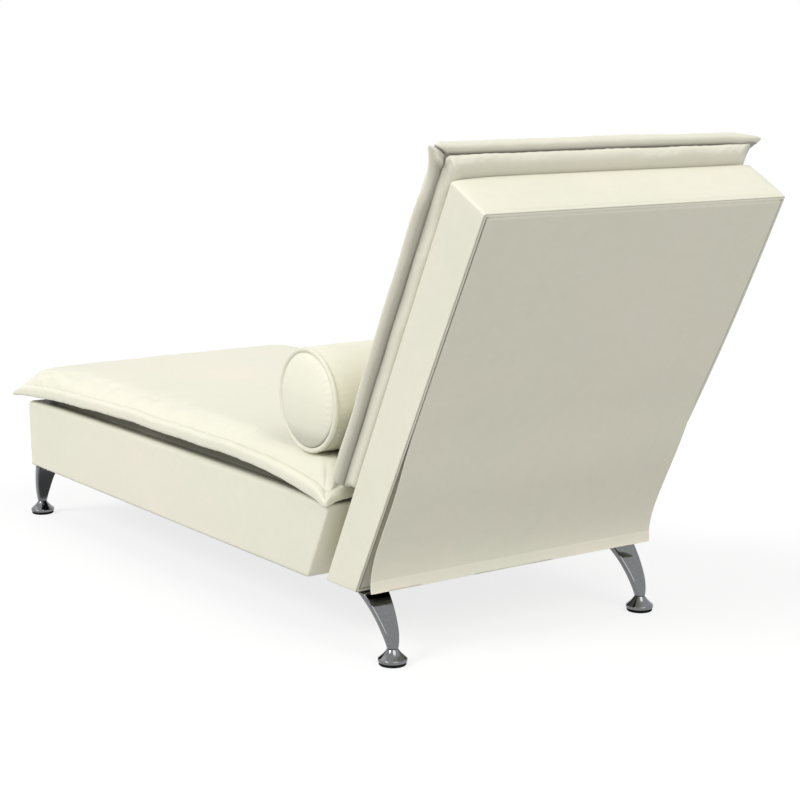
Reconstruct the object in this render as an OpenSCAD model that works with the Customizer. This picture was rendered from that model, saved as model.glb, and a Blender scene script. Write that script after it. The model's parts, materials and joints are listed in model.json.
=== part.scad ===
// Upholstered chaise longue: a padded seat box, a leaning padded back, four chrome legs and a loose bolster.
// Modelled from the foot end (y = 0) to the back, then moved so that the footprint's middle is at the origin.

/* [Seat box] */
// Width of the seat box
seat_w = 600; // [540:1:680]
// Length of the seat box along its underside
seat_len = 1038; // [900:1:1200]
// Height of the seat box side
seat_h = 129; // [120:1:160]
// Rounding of the upright corners at the foot end
seat_corner_r = 12; // [5:1:25]

/* [Back box] */
// Lean of the back from upright, in degrees
lean = 27; // [22:1:32]
// Inset of the back box from the sides of the seat box
back_side_inset = 14; // [4:1:30]
// Length of the back box up its front face
back_len = 716; // [600:1:800]
// Thickness of the back box at its foot
back_t_low = 75; // [70:1:95]
// Thickness of the back box at its top
back_t_top = 87; // [80:1:110]
// Gap between the end of the seat box and the back box
back_gap = 29; // [20:1:40]
// Width of the cover's turned-over edge on the rear face
lip_w = 6; // [4:1:15]

/* [Seat pad] */
// Height of the seat pad's flat top above the box
seat_pad_h = 67; // [60:1:85]
// Inset of the flat top at the sides
seat_pad_inset = 21; // [15:1:35]
// Inset of the flat top at the foot end
seat_pad_inset_foot = 38; // [25:1:55]
// Inset of the flat top at the head end
seat_pad_inset_head = 38; // [30:1:60]
// Reach of the flange past the box at the sides
seat_flange_out = 14; // [8:1:25]
// Reach of the flange past the box at the foot end
seat_flange_out_foot = 39; // [20:1:50]
// Reach of the flange past the box at the head end
seat_flange_out_head = 12; // [6:1:16]
// Height of the flange's lower edge above the box along the sides
seat_flange_lift = 29; // [24:1:34]
// Drop of the flange at the two foot corners
droop_foot = 23; // [5:1:26]
// Drop of the flange at the two head corners
droop_head = 29; // [5:1:30]
// Swell of the seat pad's top in the middle
seat_crown = 8; // [2:1:14]

/* [Back pad] */
// Thickness of the back pad in front of the box
back_pad_t = 86; // [75:1:100]
// Reach of the flange past the box at the sides
back_flange_out = 18.5; // [12:0.5:30]
// Reach of the flange past the top of the box
back_flange_out_top = 41; // [20:1:50]
// Distance from the box to the back of the flange
back_flange_lift = 26; // [18:1:34]
// Inset of the flat front from the sides of the box
back_pad_inset = 24; // [10:1:34]
// Inset of the flat front from the top of the box
back_pad_inset_top = 10; // [4:1:25]
// Swell of the back pad's front in the middle
back_crown = 7; // [2:1:12]

/* [Pads] */
// Thickness of the flange round each pad
flange_h = 21; // [16:1:24]
// Width of the flange outside its seam
flange_w = 13; // [8:1:16]
// Depth of the seat pad's drawn-in foot under its flange
pad_recess = 26; // [12:1:30]
// Thickness of cover and wadding round the foam
wadding = 9; // [7:1:11]

/* [Rear flap] */
// Height of the flap's fold above the underside
flap_fold_h = 148; // [130:1:190]
// Length of the rear panel that stands off above the fold
panel_peel_len = 150; // [80:1:220]
// Distance of the sheet from the rear face at the fold
panel_peel = 8; // [5:1:16]
// Distance from the hem to the level of the underside
hem_clear = 4; // [1:1:12]
// Slope of the flap at its hem, in degrees from upright
hem_slope = -9; // [-12:1:4]
// Height of the hem
hem_h = 20; // [12:1:30]

/* [Legs and feet] */
// Height of the underside above the floor
leg_h = 108; // [95:1:130]
// Distance from the side of the seat box to the middle of a front foot
front_foot_side = 28; // [26:1:60]
// Reach of the front feet past the foot end
front_foot_out = 16; // [0:1:30]
// Distance from the side of the back box to the middle of a rear foot
rear_foot_side = 34; // [30:1:60]
// Reach of the rear feet past the rear edge of the underside
rear_foot_out = 50; // [35:1:60]
// Distance from the foot end to the middle of a front leg's top
front_leg_inset = 14; // [10:1:20]
// Distance from the rear edge to the middle of a rear leg's top
rear_leg_inset = 0; // [-4:1:8]
// Width of a leg under its plate
leg_w_top = 46; // [36:1:50]
// Width of a leg at its neck
leg_w_neck = 17; // [14:1:20]
// Thickness of a leg's shank
leg_t = 14; // [12:1:18]
// Length of a leg's plate
plate_l = 56; // [52:1:62]
// Thickness of a leg's plate
plate_t = 3; // [2:0.5:5]
// Radius of a foot at its widest
foot_r = 23; // [18:0.5:28]
// Height of a foot with its glide
foot_h = 26; // [22:1:32]
// Thickness of a glide
glide_t = 5; // [3:0.5:7]
// Radius of a foot's threaded stem
stem_r = 3; // [2.5:0.5:3.5]
// Length of stem screwed into the leg
stem_in = 12; // [10:0.5:14]

/* [Bolster] */
// Radius of the bolster
bolster_r = 83.2; // [65:0.1:95]
// Distance from each end of the bolster to the side of the seat box
bolster_side = 15; // [5:1:60]
// Radius of the piping
piping_r = 4.2; // [2.5:0.1:6]
// Rise of the end discs
end_dome = 5; // [2:0.5:8]

/* [Frame] */
// Thickness of cover and wadding on the boxes
skin = 3; // [2:0.5:5]
// Thickness of the rear sheet
sheet_t = 2; // [1.5:0.5:3]
// Thickness of the rails
rail_t = 22; // [18:1:24]
// Thickness of the deck board
deck_t = 6; // [4:1:10]
// Thickness of the deck padding
deck_pad_t = 9; // [5:1:15]
// Thickness of the front board of the back
board_t = 4; // [3:1:8]
// Thickness of the dust cloth
cloth_t = 1; // [0.5:0.5:2]
// Radius of the joining bolts
bolt_r = 4; // [3:0.5:5]
// Distance from the side of the seat box to the outer joining bolts
bolt_side = 100; // [60:1:140]
// Height of the joining bolts up the slope of the back
bolt_u = 78; // [72:1:82]

/* [Hidden] */

// Colours of the object
cream = [0.91, 0.90, 0.84];
shade = [0.74, 0.73, 0.66];
timber = [0.80, 0.66, 0.47];
foam = [0.95, 0.88, 0.62];
steel = [0.72, 0.73, 0.75];
black = [0.08, 0.08, 0.08];

// Clearances
touch_gap = 0.3;
face_clear = 0.02;
bolt_clear = 0.25;
thread_clear = 0.05;
fold_clear = 0.5;

// Sideways places
back_w = seat_w - 2 * back_side_inset;
front_foot_x = seat_w / 2 - front_foot_side;
rear_foot_x = back_w / 2 - rear_foot_side;
bolster_len = seat_w - 2 * bolster_side;
bolt_x = seat_w / 2 - bolt_side;
bolt_x_inner = bolt_x / 3;

// Levels of the seat box, from the underside up
seat_top = leg_h + seat_h;
frame_low = leg_h + cloth_t;
deck_pad_low = seat_top - skin - deck_pad_t;
deck_low = deck_pad_low - deck_t;
rail_in = seat_w / 2 - skin - rail_t;
slat_w = 60;
slat_t = 18;
slat_count = 4;
block_h = 60;

// Back box, as planes in the side view
back_y = seat_len + back_gap / cos(lean);
rear_low_y = back_y + back_t_low / cos(lean);
rear_low_u = back_t_low * tan(lean);
rear_tilt = lean + atan((back_t_top - back_t_low) / (back_len - rear_low_u));
stile_in = back_w / 2 - skin - rail_t;
board_n = -skin - board_t;
rail_n = board_n - rail_t;
sill_h = 32;
bolt_rail_u = (sill_h - rail_n * sin(lean)) / cos(lean);
cross_rail_w = 60;
middle_rail_u = 0.55 * back_len;

// Joining bolts, through the seat's head rail, the gap and the back's bolt rail
bolt_head_t = 5;
bolt_head_r = 2.2 * bolt_r;
bolt_head_n = back_gap + skin + rail_t;
washer_t = 2;
washer_r = 2.6 * bolt_r;
nut_t = 8;
nut_r = 1.8 * bolt_r;
wing_w = 7 * bolt_r;
wing_h = 8;
wing_t = 3;
bolt_tip = 5;
spacer_r = 3 * bolt_r;

// Legs, measured from the middle of each foot, with y towards the middle of the object
leg_top = leg_h - plate_t;
leg_power = 1.65;
leg_steps = 10;
leg_root = 8;
plate_w = leg_w_top - 2;
plate_edge = 4;
plate_r = 6;
front_reach = front_foot_out + front_leg_inset;
rear_reach = rear_foot_out + rear_leg_inset;
front_plate_in = front_foot_out + plate_edge + plate_l;
rear_plate_in = rear_foot_out + plate_edge + plate_l;
screw_rows = [8, 25];
screw_x = 14;
screw_r = 2;
screw_head_r = 4;
screw_head_t = 2.5;
screw_len = 18;
spigot_r = 6;
spigot_h = 3;
foot_edge_h = 5;
foot_bevel = 1.5;

// Pads: offsets from the box outline at the sides, the foot and the head, and steps round a pad
side_steps = 16;
end_steps = 8;
corner_steps = 3;
flange_corner_r = 9;
pad_corner_r = 22;
side_draw = 4;
side_bow = 3;
foot_arch_len = 500;
head_arch_len = 233;
seat_head_y = seat_end(seat_top, 0);
seat_recess = [1, 1, 1] * -pad_recess;
seat_over = [seat_flange_out, seat_flange_out_foot, seat_flange_out_head];
seat_inset = [-seat_pad_inset, -seat_pad_inset_foot, -seat_pad_inset_head];
back_recess = [-9, 0, -4];
back_over = [back_flange_out, 0, back_flange_out_top];
back_inset = [-back_pad_inset, -8, -back_pad_inset_top];
back_pad_low = (seat_pad_h + seat_h - back_pad_t * sin(lean)) / cos(lean) + touch_gap;
foam_clear = 5;

// Bolster, resting in the angle of the two pads
bolster_z = seat_top + seat_pad_h + touch_gap + bolster_r;
bolster_y = face_y(bolster_z, back_pad_t + touch_gap + bolster_r);
bolster_wall = 1.5;
piping_x = bolster_len / 2 - piping_r;
piping_at = bolster_r - piping_r;
disc_steps = 6;
disc_t = 3;
zip_w = 8;
zip_t = 1.2;
zip_end = 55;
zip_len = bolster_len - 2 * zip_end;

// Rear sheet: its fold, and the curve in which the flap hangs
fold = rear_pt(0, panel_peel);
panel_steps = 8;
flap_power = 3.6;
flap_steps = 14;
flap_step = (fold[1] - leg_h - hem_clear) / drop_sum(flap_steps);
hem_t = 0.8;
tape_w = 20;
tape_t = 2;
tape_steps = 2;
tape_len = 0.86 * back_w;
tape_low = leg_h + 8;

// Middle of the footprint, from the foot flange to the top rear edge of the back
mid_y = (back_pt(back_len, -back_t_top)[0] - seat_flange_out_foot) / 2;

// Point of the side view at u up the back's front face and n in front of it
function back_pt(u, n) = [back_y + u * sin(lean) - n * cos(lean), leg_h + u * cos(lean) + n * sin(lean)];
// Place, at height z, of the plane n in front of the back's front face
function face_y(z, n) = back_y + (z - leg_h) * tan(lean) - n / cos(lean);
// Place, at height z, of the rear face moved inwards by r
function rear_y(z, r) = rear_low_y + (z - leg_h) * tan(rear_tilt) - r / cos(rear_tilt);
// Depth of the rear face at u up the front face, moved inwards by r
function rear_n(u, r) = -back_t_low - (u - rear_low_u) * tan(rear_tilt - lean) + r / cos(rear_tilt - lean);
// Point at s up the rear face from the level of the fold, and e behind the face
function rear_pt(s, e) = [
    rear_y(leg_h + flap_fold_h, 0) + s * sin(rear_tilt) + e * cos(rear_tilt),
    leg_h + flap_fold_h + s * cos(rear_tilt) - e * sin(rear_tilt)
];
// Place, at height z, of the leaning end of the seat box moved inwards by r
function seat_end(z, r) = face_y(z, back_gap + r);
function mix(a, b, t) = a + (b - a) * t;
function unit(v) = v / norm(v);

// Outline of the back box moved inwards by f, r, b and t at its front, rear, bottom and top
function back_outline(f, r, b, t) = [
    [face_y(leg_h + b, -f), leg_h + b],
    [rear_y(leg_h + b, r), leg_h + b],
    back_pt(back_len - t, rear_n(back_len - t, r)),
    back_pt(back_len - t, -f)
];

// Arc that rounds corner b of the path a, b, c with radius r
function corner(a, b, c, r, n = 5) =
    let (
        u = unit(a - b),
        v = unit(c - b),
        half = acos(u * v) / 2,
        mid = b + unit(u + v) * r / sin(half),
        from = b + u * r / tan(half) - mid,
        to = b + v * r / tan(half) - mid
    )
    [for (i = [0:n]) mid + r * unit(mix(from, to, i / n))];

// Slope of the flap after share t of its length, sum of its steps' drops, and point i of its line
function flap_slope(t) = mix(rear_tilt, hem_slope, pow(t, flap_power));
function drop_sum(i) = i == 0 ? 0 : drop_sum(i - 1) + cos(flap_slope((i - 0.5) / flap_steps));
function flap_pt(i) =
    let (a = flap_slope((i - 0.5) / flap_steps))
    i == 0 ? fold : flap_pt(i - 1) - flap_step * [sin(a), cos(a)];
// Point i of the flap's line moved outwards by e, and the band between two such offsets
function flap_side(i, e) =
    let (a = flap_slope(i / flap_steps))
    flap_pt(i) + e * [cos(a), -sin(a)];
function flap_band(low, high, from, to) = concat(
    [for (i = [from:to]) flap_side(i, high)],
    [for (i = [to:-1:from]) flap_side(i, low)]
);
// Distance of the middle of the rear panel from the rear face at s above the fold
function peel(s) = mix(-sheet_t / 2, panel_peel, (1 + cos(180 * min(1, s / panel_peel_len))) / 2);

// Quarter arc of a pad outline, turning from angle a
function quarter(x, y, r, a) = [
    for (i = [0:corner_steps - 1]) [x, y] + r * [cos(a + 90 * i / corner_steps), sin(a + 90 * i / corner_steps)]
];
// Outline of a pad with drawn-in sides: half width x, from y0 to y1, walked once round
function outline(x, y0, y1, r, draw) = concat(
    [for (i = [0:side_steps - 1]) [x - bow(i, side_steps, draw), mix(y0 + r, y1 - r, i / side_steps)]],
    quarter(x - r, y1 - r, r, 0),
    [for (i = [0:end_steps - 1]) [mix(x - r, r - x, i / end_steps), y1 - bow(i, end_steps, draw)]],
    quarter(r - x, y1 - r, r, 90),
    [for (i = [0:side_steps - 1]) [bow(i, side_steps, draw) - x, mix(y1 - r, y0 + r, i / side_steps)]],
    quarter(r - x, y0 + r, r, 180),
    [for (i = [0:end_steps - 1]) [mix(r - x, x - r, i / end_steps), y0 + bow(i, end_steps, draw)]],
    quarter(x - r, y0 + r, r, 270)
);
function bow(i, n, draw) = 4 * draw * i / n * (1 - i / n);

// Rows of a pad from its foot to its flat top, each [offset outwards, height, share of the droop, corner radius].
// rec, over and inset are the offsets of the foot, the flange and the flat top.
function pad_rows(rec, over, inset, lift, top, bulge, under, width) = [
    [rec, 0, 0, pad_corner_r],
    [mix(rec, over - width, bulge), 0.4 * lift, 0.35, pad_corner_r],
    [mix(rec, over, under), lift - 2, 0.8, flange_corner_r],
    [mix(over, over - width, 0.2), lift, 1, flange_corner_r],
    [over, lift + flange_h / 2, 1, flange_corner_r],
    [mix(over, over - width, 0.3), lift + flange_h - 1, 1, flange_corner_r],
    [over - width, lift + flange_h + 1, 0.95, flange_corner_r],
    [mix(over - width, inset, 0.4), mix(lift + flange_h, top, 0.6), 0.45, pad_corner_r],
    [inset, top - 2.5, 0.05, pad_corner_r],
    [inset - [9, 9, 9], top, 0, pad_corner_r]
];

// Drop of the seat pad's flange towards its four corners
function droop(x, y) =
    let (
        half = seat_w / 2 + seat_flange_out,
        foot = max(0, 1 - (y + seat_flange_out_foot) / foot_arch_len),
        head = max(0, 1 - (seat_head_y + seat_flange_out_head - y) / head_arch_len)
    )
    droop_foot * pow(foot, 2) * pow(x / half, 2) + droop_head * pow(head, 2) * mix(0.55, 1, pow(x / half, 6));

function row_ring(x, y0, y1, row, drooping) = [
    for (p = outline(x + row[0][0], y0 - row[0][1], y1 + row[0][2], row[3], drooping ? side_draw : -side_bow))
        [p[0], p[1], row[1] - (drooping ? row[2] * droop(p[0], p[1]) : 0)]
];
// Ring inside the flat top, shrunk by share s, raised by a crown that ends at a and b
function crown_ring(ring, s, x, mid, top, crown, a, b) = [
    for (p = ring) let (q = [p[0] * s, mix(mid, p[1], s)]) [q[0], q[1], crown_z(q, x, top, crown, a, b)]
];
function crown_z(q, x, top, crown, a, b) =
    top + crown * (1 - pow(q[0] / x, 2)) * max(0, 1 - pow((2 * q[1] - a - b) / (b - a), 2));

// Side view drawn in y and z, pulled out to width w across the object
module across(w) {
    rotate([90, 0, 90])
        linear_extrude(w, center = true)
            children();
}

// Puts the footprint's middle at the origin
module place() {
    translate([0, -mid_y, 0])
        children();
}

// Frame of the leaning back: x across, y up the slope, z towards the sitter
module on_back() {
    translate([0, back_y, leg_h])
        rotate([90 - lean, 0, 0])
            children();
}

// Slab across the object from x = a to x = b
module x_slab(a, b) {
    translate([a, -seat_len, 0])
        cube([b - a, 4 * seat_len, 2 * seat_len]);
}

// Seat box moved inwards by r, between two heights
module seat_prism(r, low, high) {
    x = seat_w / 2 - r;
    far = seat_end(high, 0) + 1;
    intersection() {
        across(2 * x)
            polygon([[r, low], [seat_end(low, r), low], [seat_end(high, r), high], [r, high]]);
        translate([0, 0, low])
            linear_extrude(high - low)
                polygon(concat(
                    [[-x, far]],
                    corner([-x, far], [-x, r], [x, r], seat_corner_r - r),
                    corner([-x, r], [x, r], [x, far], seat_corner_r - r),
                    [[x, far]]
                ));
    }
}

// Layer of the space inside the seat's cover, between two heights
module seat_inside(low, high) {
    intersection() {
        seat_prism(skin, leg_h - 1, seat_top - skin);
        translate([-seat_w, -seat_len, low])
            cube([2 * seat_w, 4 * seat_len, high - low]);
    }
}

// Space inside the back's cover, as wide as w
module back_inside(w) {
    across(w)
        polygon(back_outline(skin, sheet_t, skin, skin));
}

// Block in the frame of the back, from u = from to u = to and from n = low to n = high, as wide as w
module back_block(low, high, from, to, w) {
    on_back()
        translate([-w / 2, from, low])
            cube([w, to - from, high - low]);
}

module back_rail(from) {
    intersection() {
        back_inside(2 * stile_in);
        back_block(rail_n, board_n, from, from + cross_rail_w, 2 * stile_in);
    }
}

// Space of the front board
module board_space() {
    back_block(board_n, 1, -back_len, 2 * back_len, 2 * back_w);
}

module bolt_spots() {
    on_back()
        for (x = [-bolt_x, -bolt_x_inner, bolt_x_inner, bolt_x])
            translate([x, bolt_u, 0])
                children();
}

module bolt_holes() {
    bolt_spots()
        translate([0, 0, rail_n - 1])
            cylinder(h = bolt_head_n - rail_n + 2, r = bolt_r + bolt_clear, $fn = 32);
}

module front_foot(side) {
    translate([side * front_foot_x, -front_foot_out, 0])
        children();
}

module rear_foot(side) {
    translate([side * rear_foot_x, rear_low_y + rear_foot_out, 0])
        mirror([0, 1, 0])
            children();
}

// Screw places of one leg whose plate ends at y = inner from the foot
module screw_spots(inner) {
    for (x = [-screw_x, screw_x], row = screw_rows)
        translate([x, inner - row, 0])
            children();
}

module all_screw_spots() {
    for (side = [-1, 1]) {
        front_foot(side)
            screw_spots(front_plate_in)
                children();
        rear_foot(side)
            screw_spots(rear_plate_in)
                children();
    }
}

module screw_holes() {
    all_screw_spots()
        translate([0, 0, leg_h - 1])
            cylinder(h = screw_len + 2, r = screw_r + thread_clear, $fn = 24);
}

// Closed skin over rings of equal length, with a middle point at its foot and one at its top
module ring_solid(rings, low, high) {
    n = len(rings[0]);
    k = len(rings);
    polyhedron(
        points = concat([for (r = rings) each r], [low, high]),
        faces = concat(
            [for (j = [0:k - 2], i = [0:n - 1]) [j * n + i, (j + 1) * n + i, j * n + (i + 1) % n]],
            [for (j = [0:k - 2], i = [0:n - 1])
                [j * n + (i + 1) % n, (j + 1) * n + i, (j + 1) * n + (i + 1) % n]],
            [for (i = [0:n - 1]) [k * n, i, (i + 1) % n]],
            [for (i = [0:n - 1]) [k * n + 1, (k - 1) * n + (i + 1) % n, (k - 1) * n + i]]
        )
    );
}

// Pad on a base of half width x from y0 to y1, with its crown between a and b
module pad(x, y0, y1, rows, drooping, top, crown, a, b) {
    rings = [for (row = rows) row_ring(x, y0, y1, row, drooping)];
    flat = rings[len(rings) - 1];
    mid = (a + b) / 2;
    ring_solid(
        concat(rings, [for (s = [0.75, 0.5, 0.25]) crown_ring(flat, s, x, mid, top, crown, a, b)]),
        [0, mid, 0],
        [0, mid, top + crown]
    );
}

// Timber of the seat box
module seat_side_rail(side) {
    color(timber)
        place()
            difference() {
                intersection() {
                    seat_inside(frame_low, deck_low);
                    mirror([side < 0 ? 1 : 0, 0, 0])
                        x_slab(rail_in, seat_w);
                }
                screw_holes();
            }
}

module seat_side_rail_left() {
    seat_side_rail(1);
}

module seat_side_rail_right() {
    seat_side_rail(-1);
}

module seat_foot_rail() {
    color(timber)
        place()
            translate([-rail_in, skin, frame_low])
                cube([2 * rail_in, rail_t, deck_low - frame_low]);
}

module seat_head_rail() {
    color(timber)
        place()
            difference() {
                intersection() {
                    seat_inside(frame_low, deck_low);
                    back_block(0, bolt_head_n, -back_len, back_len, 2 * rail_in);
                }
                bolt_holes();
            }
}

module seat_slats() {
    near = skin + rail_t;
    far = seat_end(deck_low - slat_t, skin + rail_t);
    color(timber)
        place()
            for (i = [1:slat_count])
                translate([-rail_in, mix(near, far, i / (slat_count + 1)) - slat_w / 2, deck_low - slat_t])
                    cube([2 * rail_in, slat_w, slat_t]);
}

module seat_leg_blocks() {
    near = front_foot_x - plate_w / 2 - plate_edge;
    color(timber)
        place()
            difference() {
                for (side = [0, 1])
                    mirror([side, 0, 0])
                        translate([near, skin + rail_t, frame_low])
                            cube([rail_in - near, plate_l, block_h]);
                screw_holes();
            }
}

module seat_deck() {
    color(timber)
        place()
            seat_inside(deck_low, deck_pad_low);
}

module seat_deck_padding() {
    color(foam)
        place()
            seat_inside(deck_pad_low, seat_top);
}

module seat_cover() {
    color(cream)
        place()
            difference() {
                seat_prism(0, leg_h, seat_top);
                seat_prism(skin, leg_h - 1, seat_top - skin);
                bolt_holes();
            }
}

module seat_dust_cloth() {
    color(black)
        place()
            difference() {
                seat_inside(leg_h, frame_low);
                screw_holes();
            }
}

// Seat pad
module seat_foam_box() {
    inset = wadding + foam_clear;
    x = seat_w / 2 - seat_pad_inset - inset;
    near = seat_pad_inset_foot + inset;
    translate([-x, near, seat_top + wadding])
        cube([2 * x, seat_head_y - seat_pad_inset_head - inset - near, seat_pad_h - 2 * wadding]);
}

module seat_pad_cover() {
    rows = pad_rows(
        seat_recess, seat_over, seat_inset, seat_flange_lift, seat_pad_h, 0.1, 0.35, [1, 1, 1] * flange_w
    );
    color(cream)
        place()
            difference() {
                translate([0, 0, seat_top])
                    pad(
                        seat_w / 2, 0, seat_head_y, rows, true, seat_pad_h, seat_crown,
                        0, bolster_y - 1.3 * bolster_r
                    );
                seat_foam_box();
            }
}

module seat_pad_foam() {
    color(foam)
        place()
            seat_foam_box();
}

// Timber and boards of the back
module back_stile(side) {
    color(timber)
        place()
            difference() {
                intersection() {
                    back_inside(back_w - 2 * skin);
                    mirror([side < 0 ? 1 : 0, 0, 0])
                        x_slab(stile_in, back_w);
                }
                board_space();
                screw_holes();
            }
}

module back_stile_left() {
    back_stile(1);
}

module back_stile_right() {
    back_stile(-1);
}

module back_sill() {
    color(timber)
        place()
            difference() {
                intersection() {
                    back_inside(2 * stile_in);
                    translate([-stile_in, 0, 0])
                        cube([2 * stile_in, 2 * seat_len, leg_h + sill_h]);
                }
                board_space();
                screw_holes();
            }
}

module back_bolt_rail() {
    color(timber)
        place()
            difference() {
                back_rail(bolt_rail_u);
                bolt_holes();
            }
}

module back_middle_rail() {
    color(timber)
        place()
            back_rail(middle_rail_u);
}

module back_top_rail() {
    color(timber)
        place()
            back_rail(back_len - skin - cross_rail_w);
}

module back_front_board() {
    color(timber)
        place()
            difference() {
                intersection() {
                    back_inside(back_w - 2 * skin);
                    board_space();
                }
                bolt_holes();
            }
}

module back_cover() {
    color(cream)
        place()
            difference() {
                across(back_w)
                    polygon(back_outline(0, 0, 0, 0));
                back_inside(back_w - 2 * skin);
                across(back_w - 2 * lip_w)
                    polygon(back_outline(skin, -1, skin, lip_w));
                bolt_holes();
                screw_holes();
            }
}

// Rear sheet: the sewn panel, the flap below its fold, and the tapes that close it
module rear_panel() {
    s0 = sheet_t / 2 + fold_clear;
    half = sheet_t / 2;
    top_u = back_len - lip_w;
    color(shade)
        place()
            across(back_w - 2 * lip_w)
                polygon(concat(
                    [for (i = [0:panel_steps])
                        let (s = mix(s0, panel_peel_len, i / panel_steps)) rear_pt(s, peel(s) + half)],
                    [back_pt(top_u, rear_n(top_u, 0)), back_pt(top_u, rear_n(top_u, sheet_t))],
                    [for (i = [panel_steps:-1:0])
                        let (s = mix(s0, panel_peel_len, i / panel_steps)) rear_pt(s, peel(s) - half)]
                ));
}

module hook_tape() {
    high = tape_low + tape_w;
    color(shade)
        place()
            difference() {
                across(tape_len)
                    polygon([
                        [rear_y(tape_low, skin), tape_low],
                        [rear_y(tape_low, sheet_t - tape_t), tape_low],
                        [rear_y(high, sheet_t - tape_t), high],
                        [rear_y(high, skin), high]
                    ]);
                back_inside(back_w - 2 * skin);
            }
}

module rear_flap() {
    half = sheet_t / 2;
    color(shade)
        place() {
            across(back_w - 2 * lip_w) {
                polygon(concat(
                    [for (i = [1:7])
                        let (a = 180 - rear_tilt - 22.5 * i) fold + half * [cos(a), sin(a)]],
                    flap_band(-half, half, 0, flap_steps)
                ));
                intersection() {
                    polygon(flap_band(0, half + hem_t, flap_steps - 5, flap_steps));
                    translate([fold[0] - 2 * flap_fold_h, leg_h - flap_fold_h])
                        square([4 * flap_fold_h, flap_fold_h + hem_clear + hem_h]);
                }
            }
        }
}

module loop_tape() {
    inner = -sheet_t / 2;
    last = flap_steps - 1;
    color(shade)
        place()
            across(tape_len)
                polygon(flap_band(inner - tape_t, inner, last - tape_steps, last));
}

// Back pad
module back_foam_box() {
    inset = wadding + foam_clear;
    x = back_w / 2 - back_pad_inset - inset;
    near = back_pad_low + 2 * inset;
    on_back()
        translate([-x, near, wadding])
            cube([2 * x, back_len - back_pad_inset_top - inset - near, back_pad_t - 2 * wadding]);
}

module back_pad_cover() {
    rows = pad_rows(
        back_recess, back_over, back_inset, back_flange_lift, back_pad_t, 0.5, 0.6, [flange_w, 0, flange_w]
    );
    color(cream)
        place()
            difference() {
                on_back()
                    translate([0, 0, face_clear])
                        pad(
                            back_w / 2, back_pad_low, back_len, rows, false, back_pad_t, back_crown,
                            back_pad_low + 1.4 * bolster_r, back_len
                        );
                back_foam_box();
            }
}

module back_pad_foam() {
    color(foam)
        place()
            back_foam_box();
}

// Hardware that joins the back to the seat
module joint_bolts() {
    color(steel)
        place()
            bolt_spots() {
                translate([0, 0, rail_n - washer_t - nut_t - bolt_tip])
                    cylinder(h = bolt_head_n - rail_n + washer_t + nut_t + bolt_tip, r = bolt_r, $fn = 32);
                translate([0, 0, bolt_head_n])
                    cylinder(h = bolt_head_t, r = bolt_head_r, $fn = 32);
            }
}

module joint_spacers() {
    color(black)
        place()
            bolt_spots()
                difference() {
                    cylinder(h = back_gap, r = spacer_r, $fn = 48);
                    translate([0, 0, -1])
                        cylinder(h = back_gap + 2, r = bolt_r + bolt_clear, $fn = 32);
                }
}

module joint_washers() {
    color(steel)
        place()
            bolt_spots()
                translate([0, 0, rail_n - washer_t])
                    difference() {
                        cylinder(h = washer_t, r = washer_r, $fn = 32);
                        translate([0, 0, -1])
                            cylinder(h = washer_t + 2, r = bolt_r + bolt_clear, $fn = 32);
                    }
}

module joint_wing_nuts() {
    color(steel)
        place()
            bolt_spots()
                translate([0, 0, rail_n - washer_t - nut_t])
                    difference() {
                        union() {
                            cylinder(h = nut_t, r = nut_r, $fn = 32);
                            translate([-wing_w / 2, -wing_t / 2, 0])
                                cube([wing_w, wing_t, wing_h]);
                        }
                        translate([0, 0, -1])
                            cylinder(h = nut_t + 2, r = bolt_r + thread_clear, $fn = 32);
                    }
}

// Chrome legs: a bent horn, wide under its plate and narrow at its neck
function leg_y(t, reach) = reach * pow(t, leg_power);
function leg_half_t(t) = mix(leg_w_neck, leg_t, min(1, t / 0.4)) / 2;

module leg(reach, inner) {
    steps = [for (i = [0:leg_steps]) i / leg_steps];
    back_steps = [for (i = [leg_steps:-1:0]) i / leg_steps];
    difference() {
        union() {
            intersection() {
                across(2 * leg_w_top)
                    polygon(concat(
                        [for (t = steps) [leg_y(t, reach) - leg_half_t(t), mix(foot_h, leg_top, t)]],
                        [for (t = back_steps)
                            [leg_y(t, reach) + leg_half_t(t) + leg_root * pow(t, 6), mix(foot_h, leg_top, t)]]
                    ));
                rotate([90, 0, 0])
                    linear_extrude(6 * leg_h, center = true)
                        polygon([
                            [-leg_w_neck / 2, foot_h],
                            [leg_w_neck / 2, foot_h],
                            [leg_w_top / 2, leg_top],
                            [-leg_w_top / 2, leg_top]
                        ]);
            }
            translate([0, 0, leg_top])
                linear_extrude(plate_t)
                    leg_plate_outline(inner);
        }
        translate([0, 0, foot_h - 1])
            cylinder(h = stem_in + 2, r = stem_r + thread_clear, $fn = 32);
        screw_spots(inner)
            translate([0, 0, leg_top - 1])
                cylinder(h = plate_t + 2, r = screw_r + bolt_clear, $fn = 24);
    }
}

module leg_plate_outline(inner) {
    x = plate_w / 2;
    outer = inner - plate_l;
    polygon(concat(
        corner([-x, inner], [-x, outer], [x, outer], plate_r),
        corner([-x, outer], [x, outer], [x, inner], plate_r),
        corner([x, outer], [x, inner], [-x, inner], plate_r),
        corner([x, inner], [-x, inner], [-x, outer], plate_r)
    ));
}

module leg_front_left() {
    color(steel)
        place()
            front_foot(1)
                leg(front_reach, front_plate_in);
}

module leg_front_right() {
    color(steel)
        place()
            front_foot(-1)
                leg(front_reach, front_plate_in);
}

module leg_rear_left() {
    color(steel)
        place()
            rear_foot(1)
                leg(rear_reach, rear_plate_in);
}

module leg_rear_right() {
    color(steel)
        place()
            rear_foot(-1)
                leg(rear_reach, rear_plate_in);
}

module leg_screws() {
    color(steel)
        place()
            all_screw_spots() {
                translate([0, 0, leg_top - screw_head_t])
                    cylinder(h = screw_head_t, r = screw_head_r, $fn = 24);
                translate([0, 0, leg_top - 0.5])
                    cylinder(h = plate_t + screw_len, r = screw_r, $fn = 24);
            }
}

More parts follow.
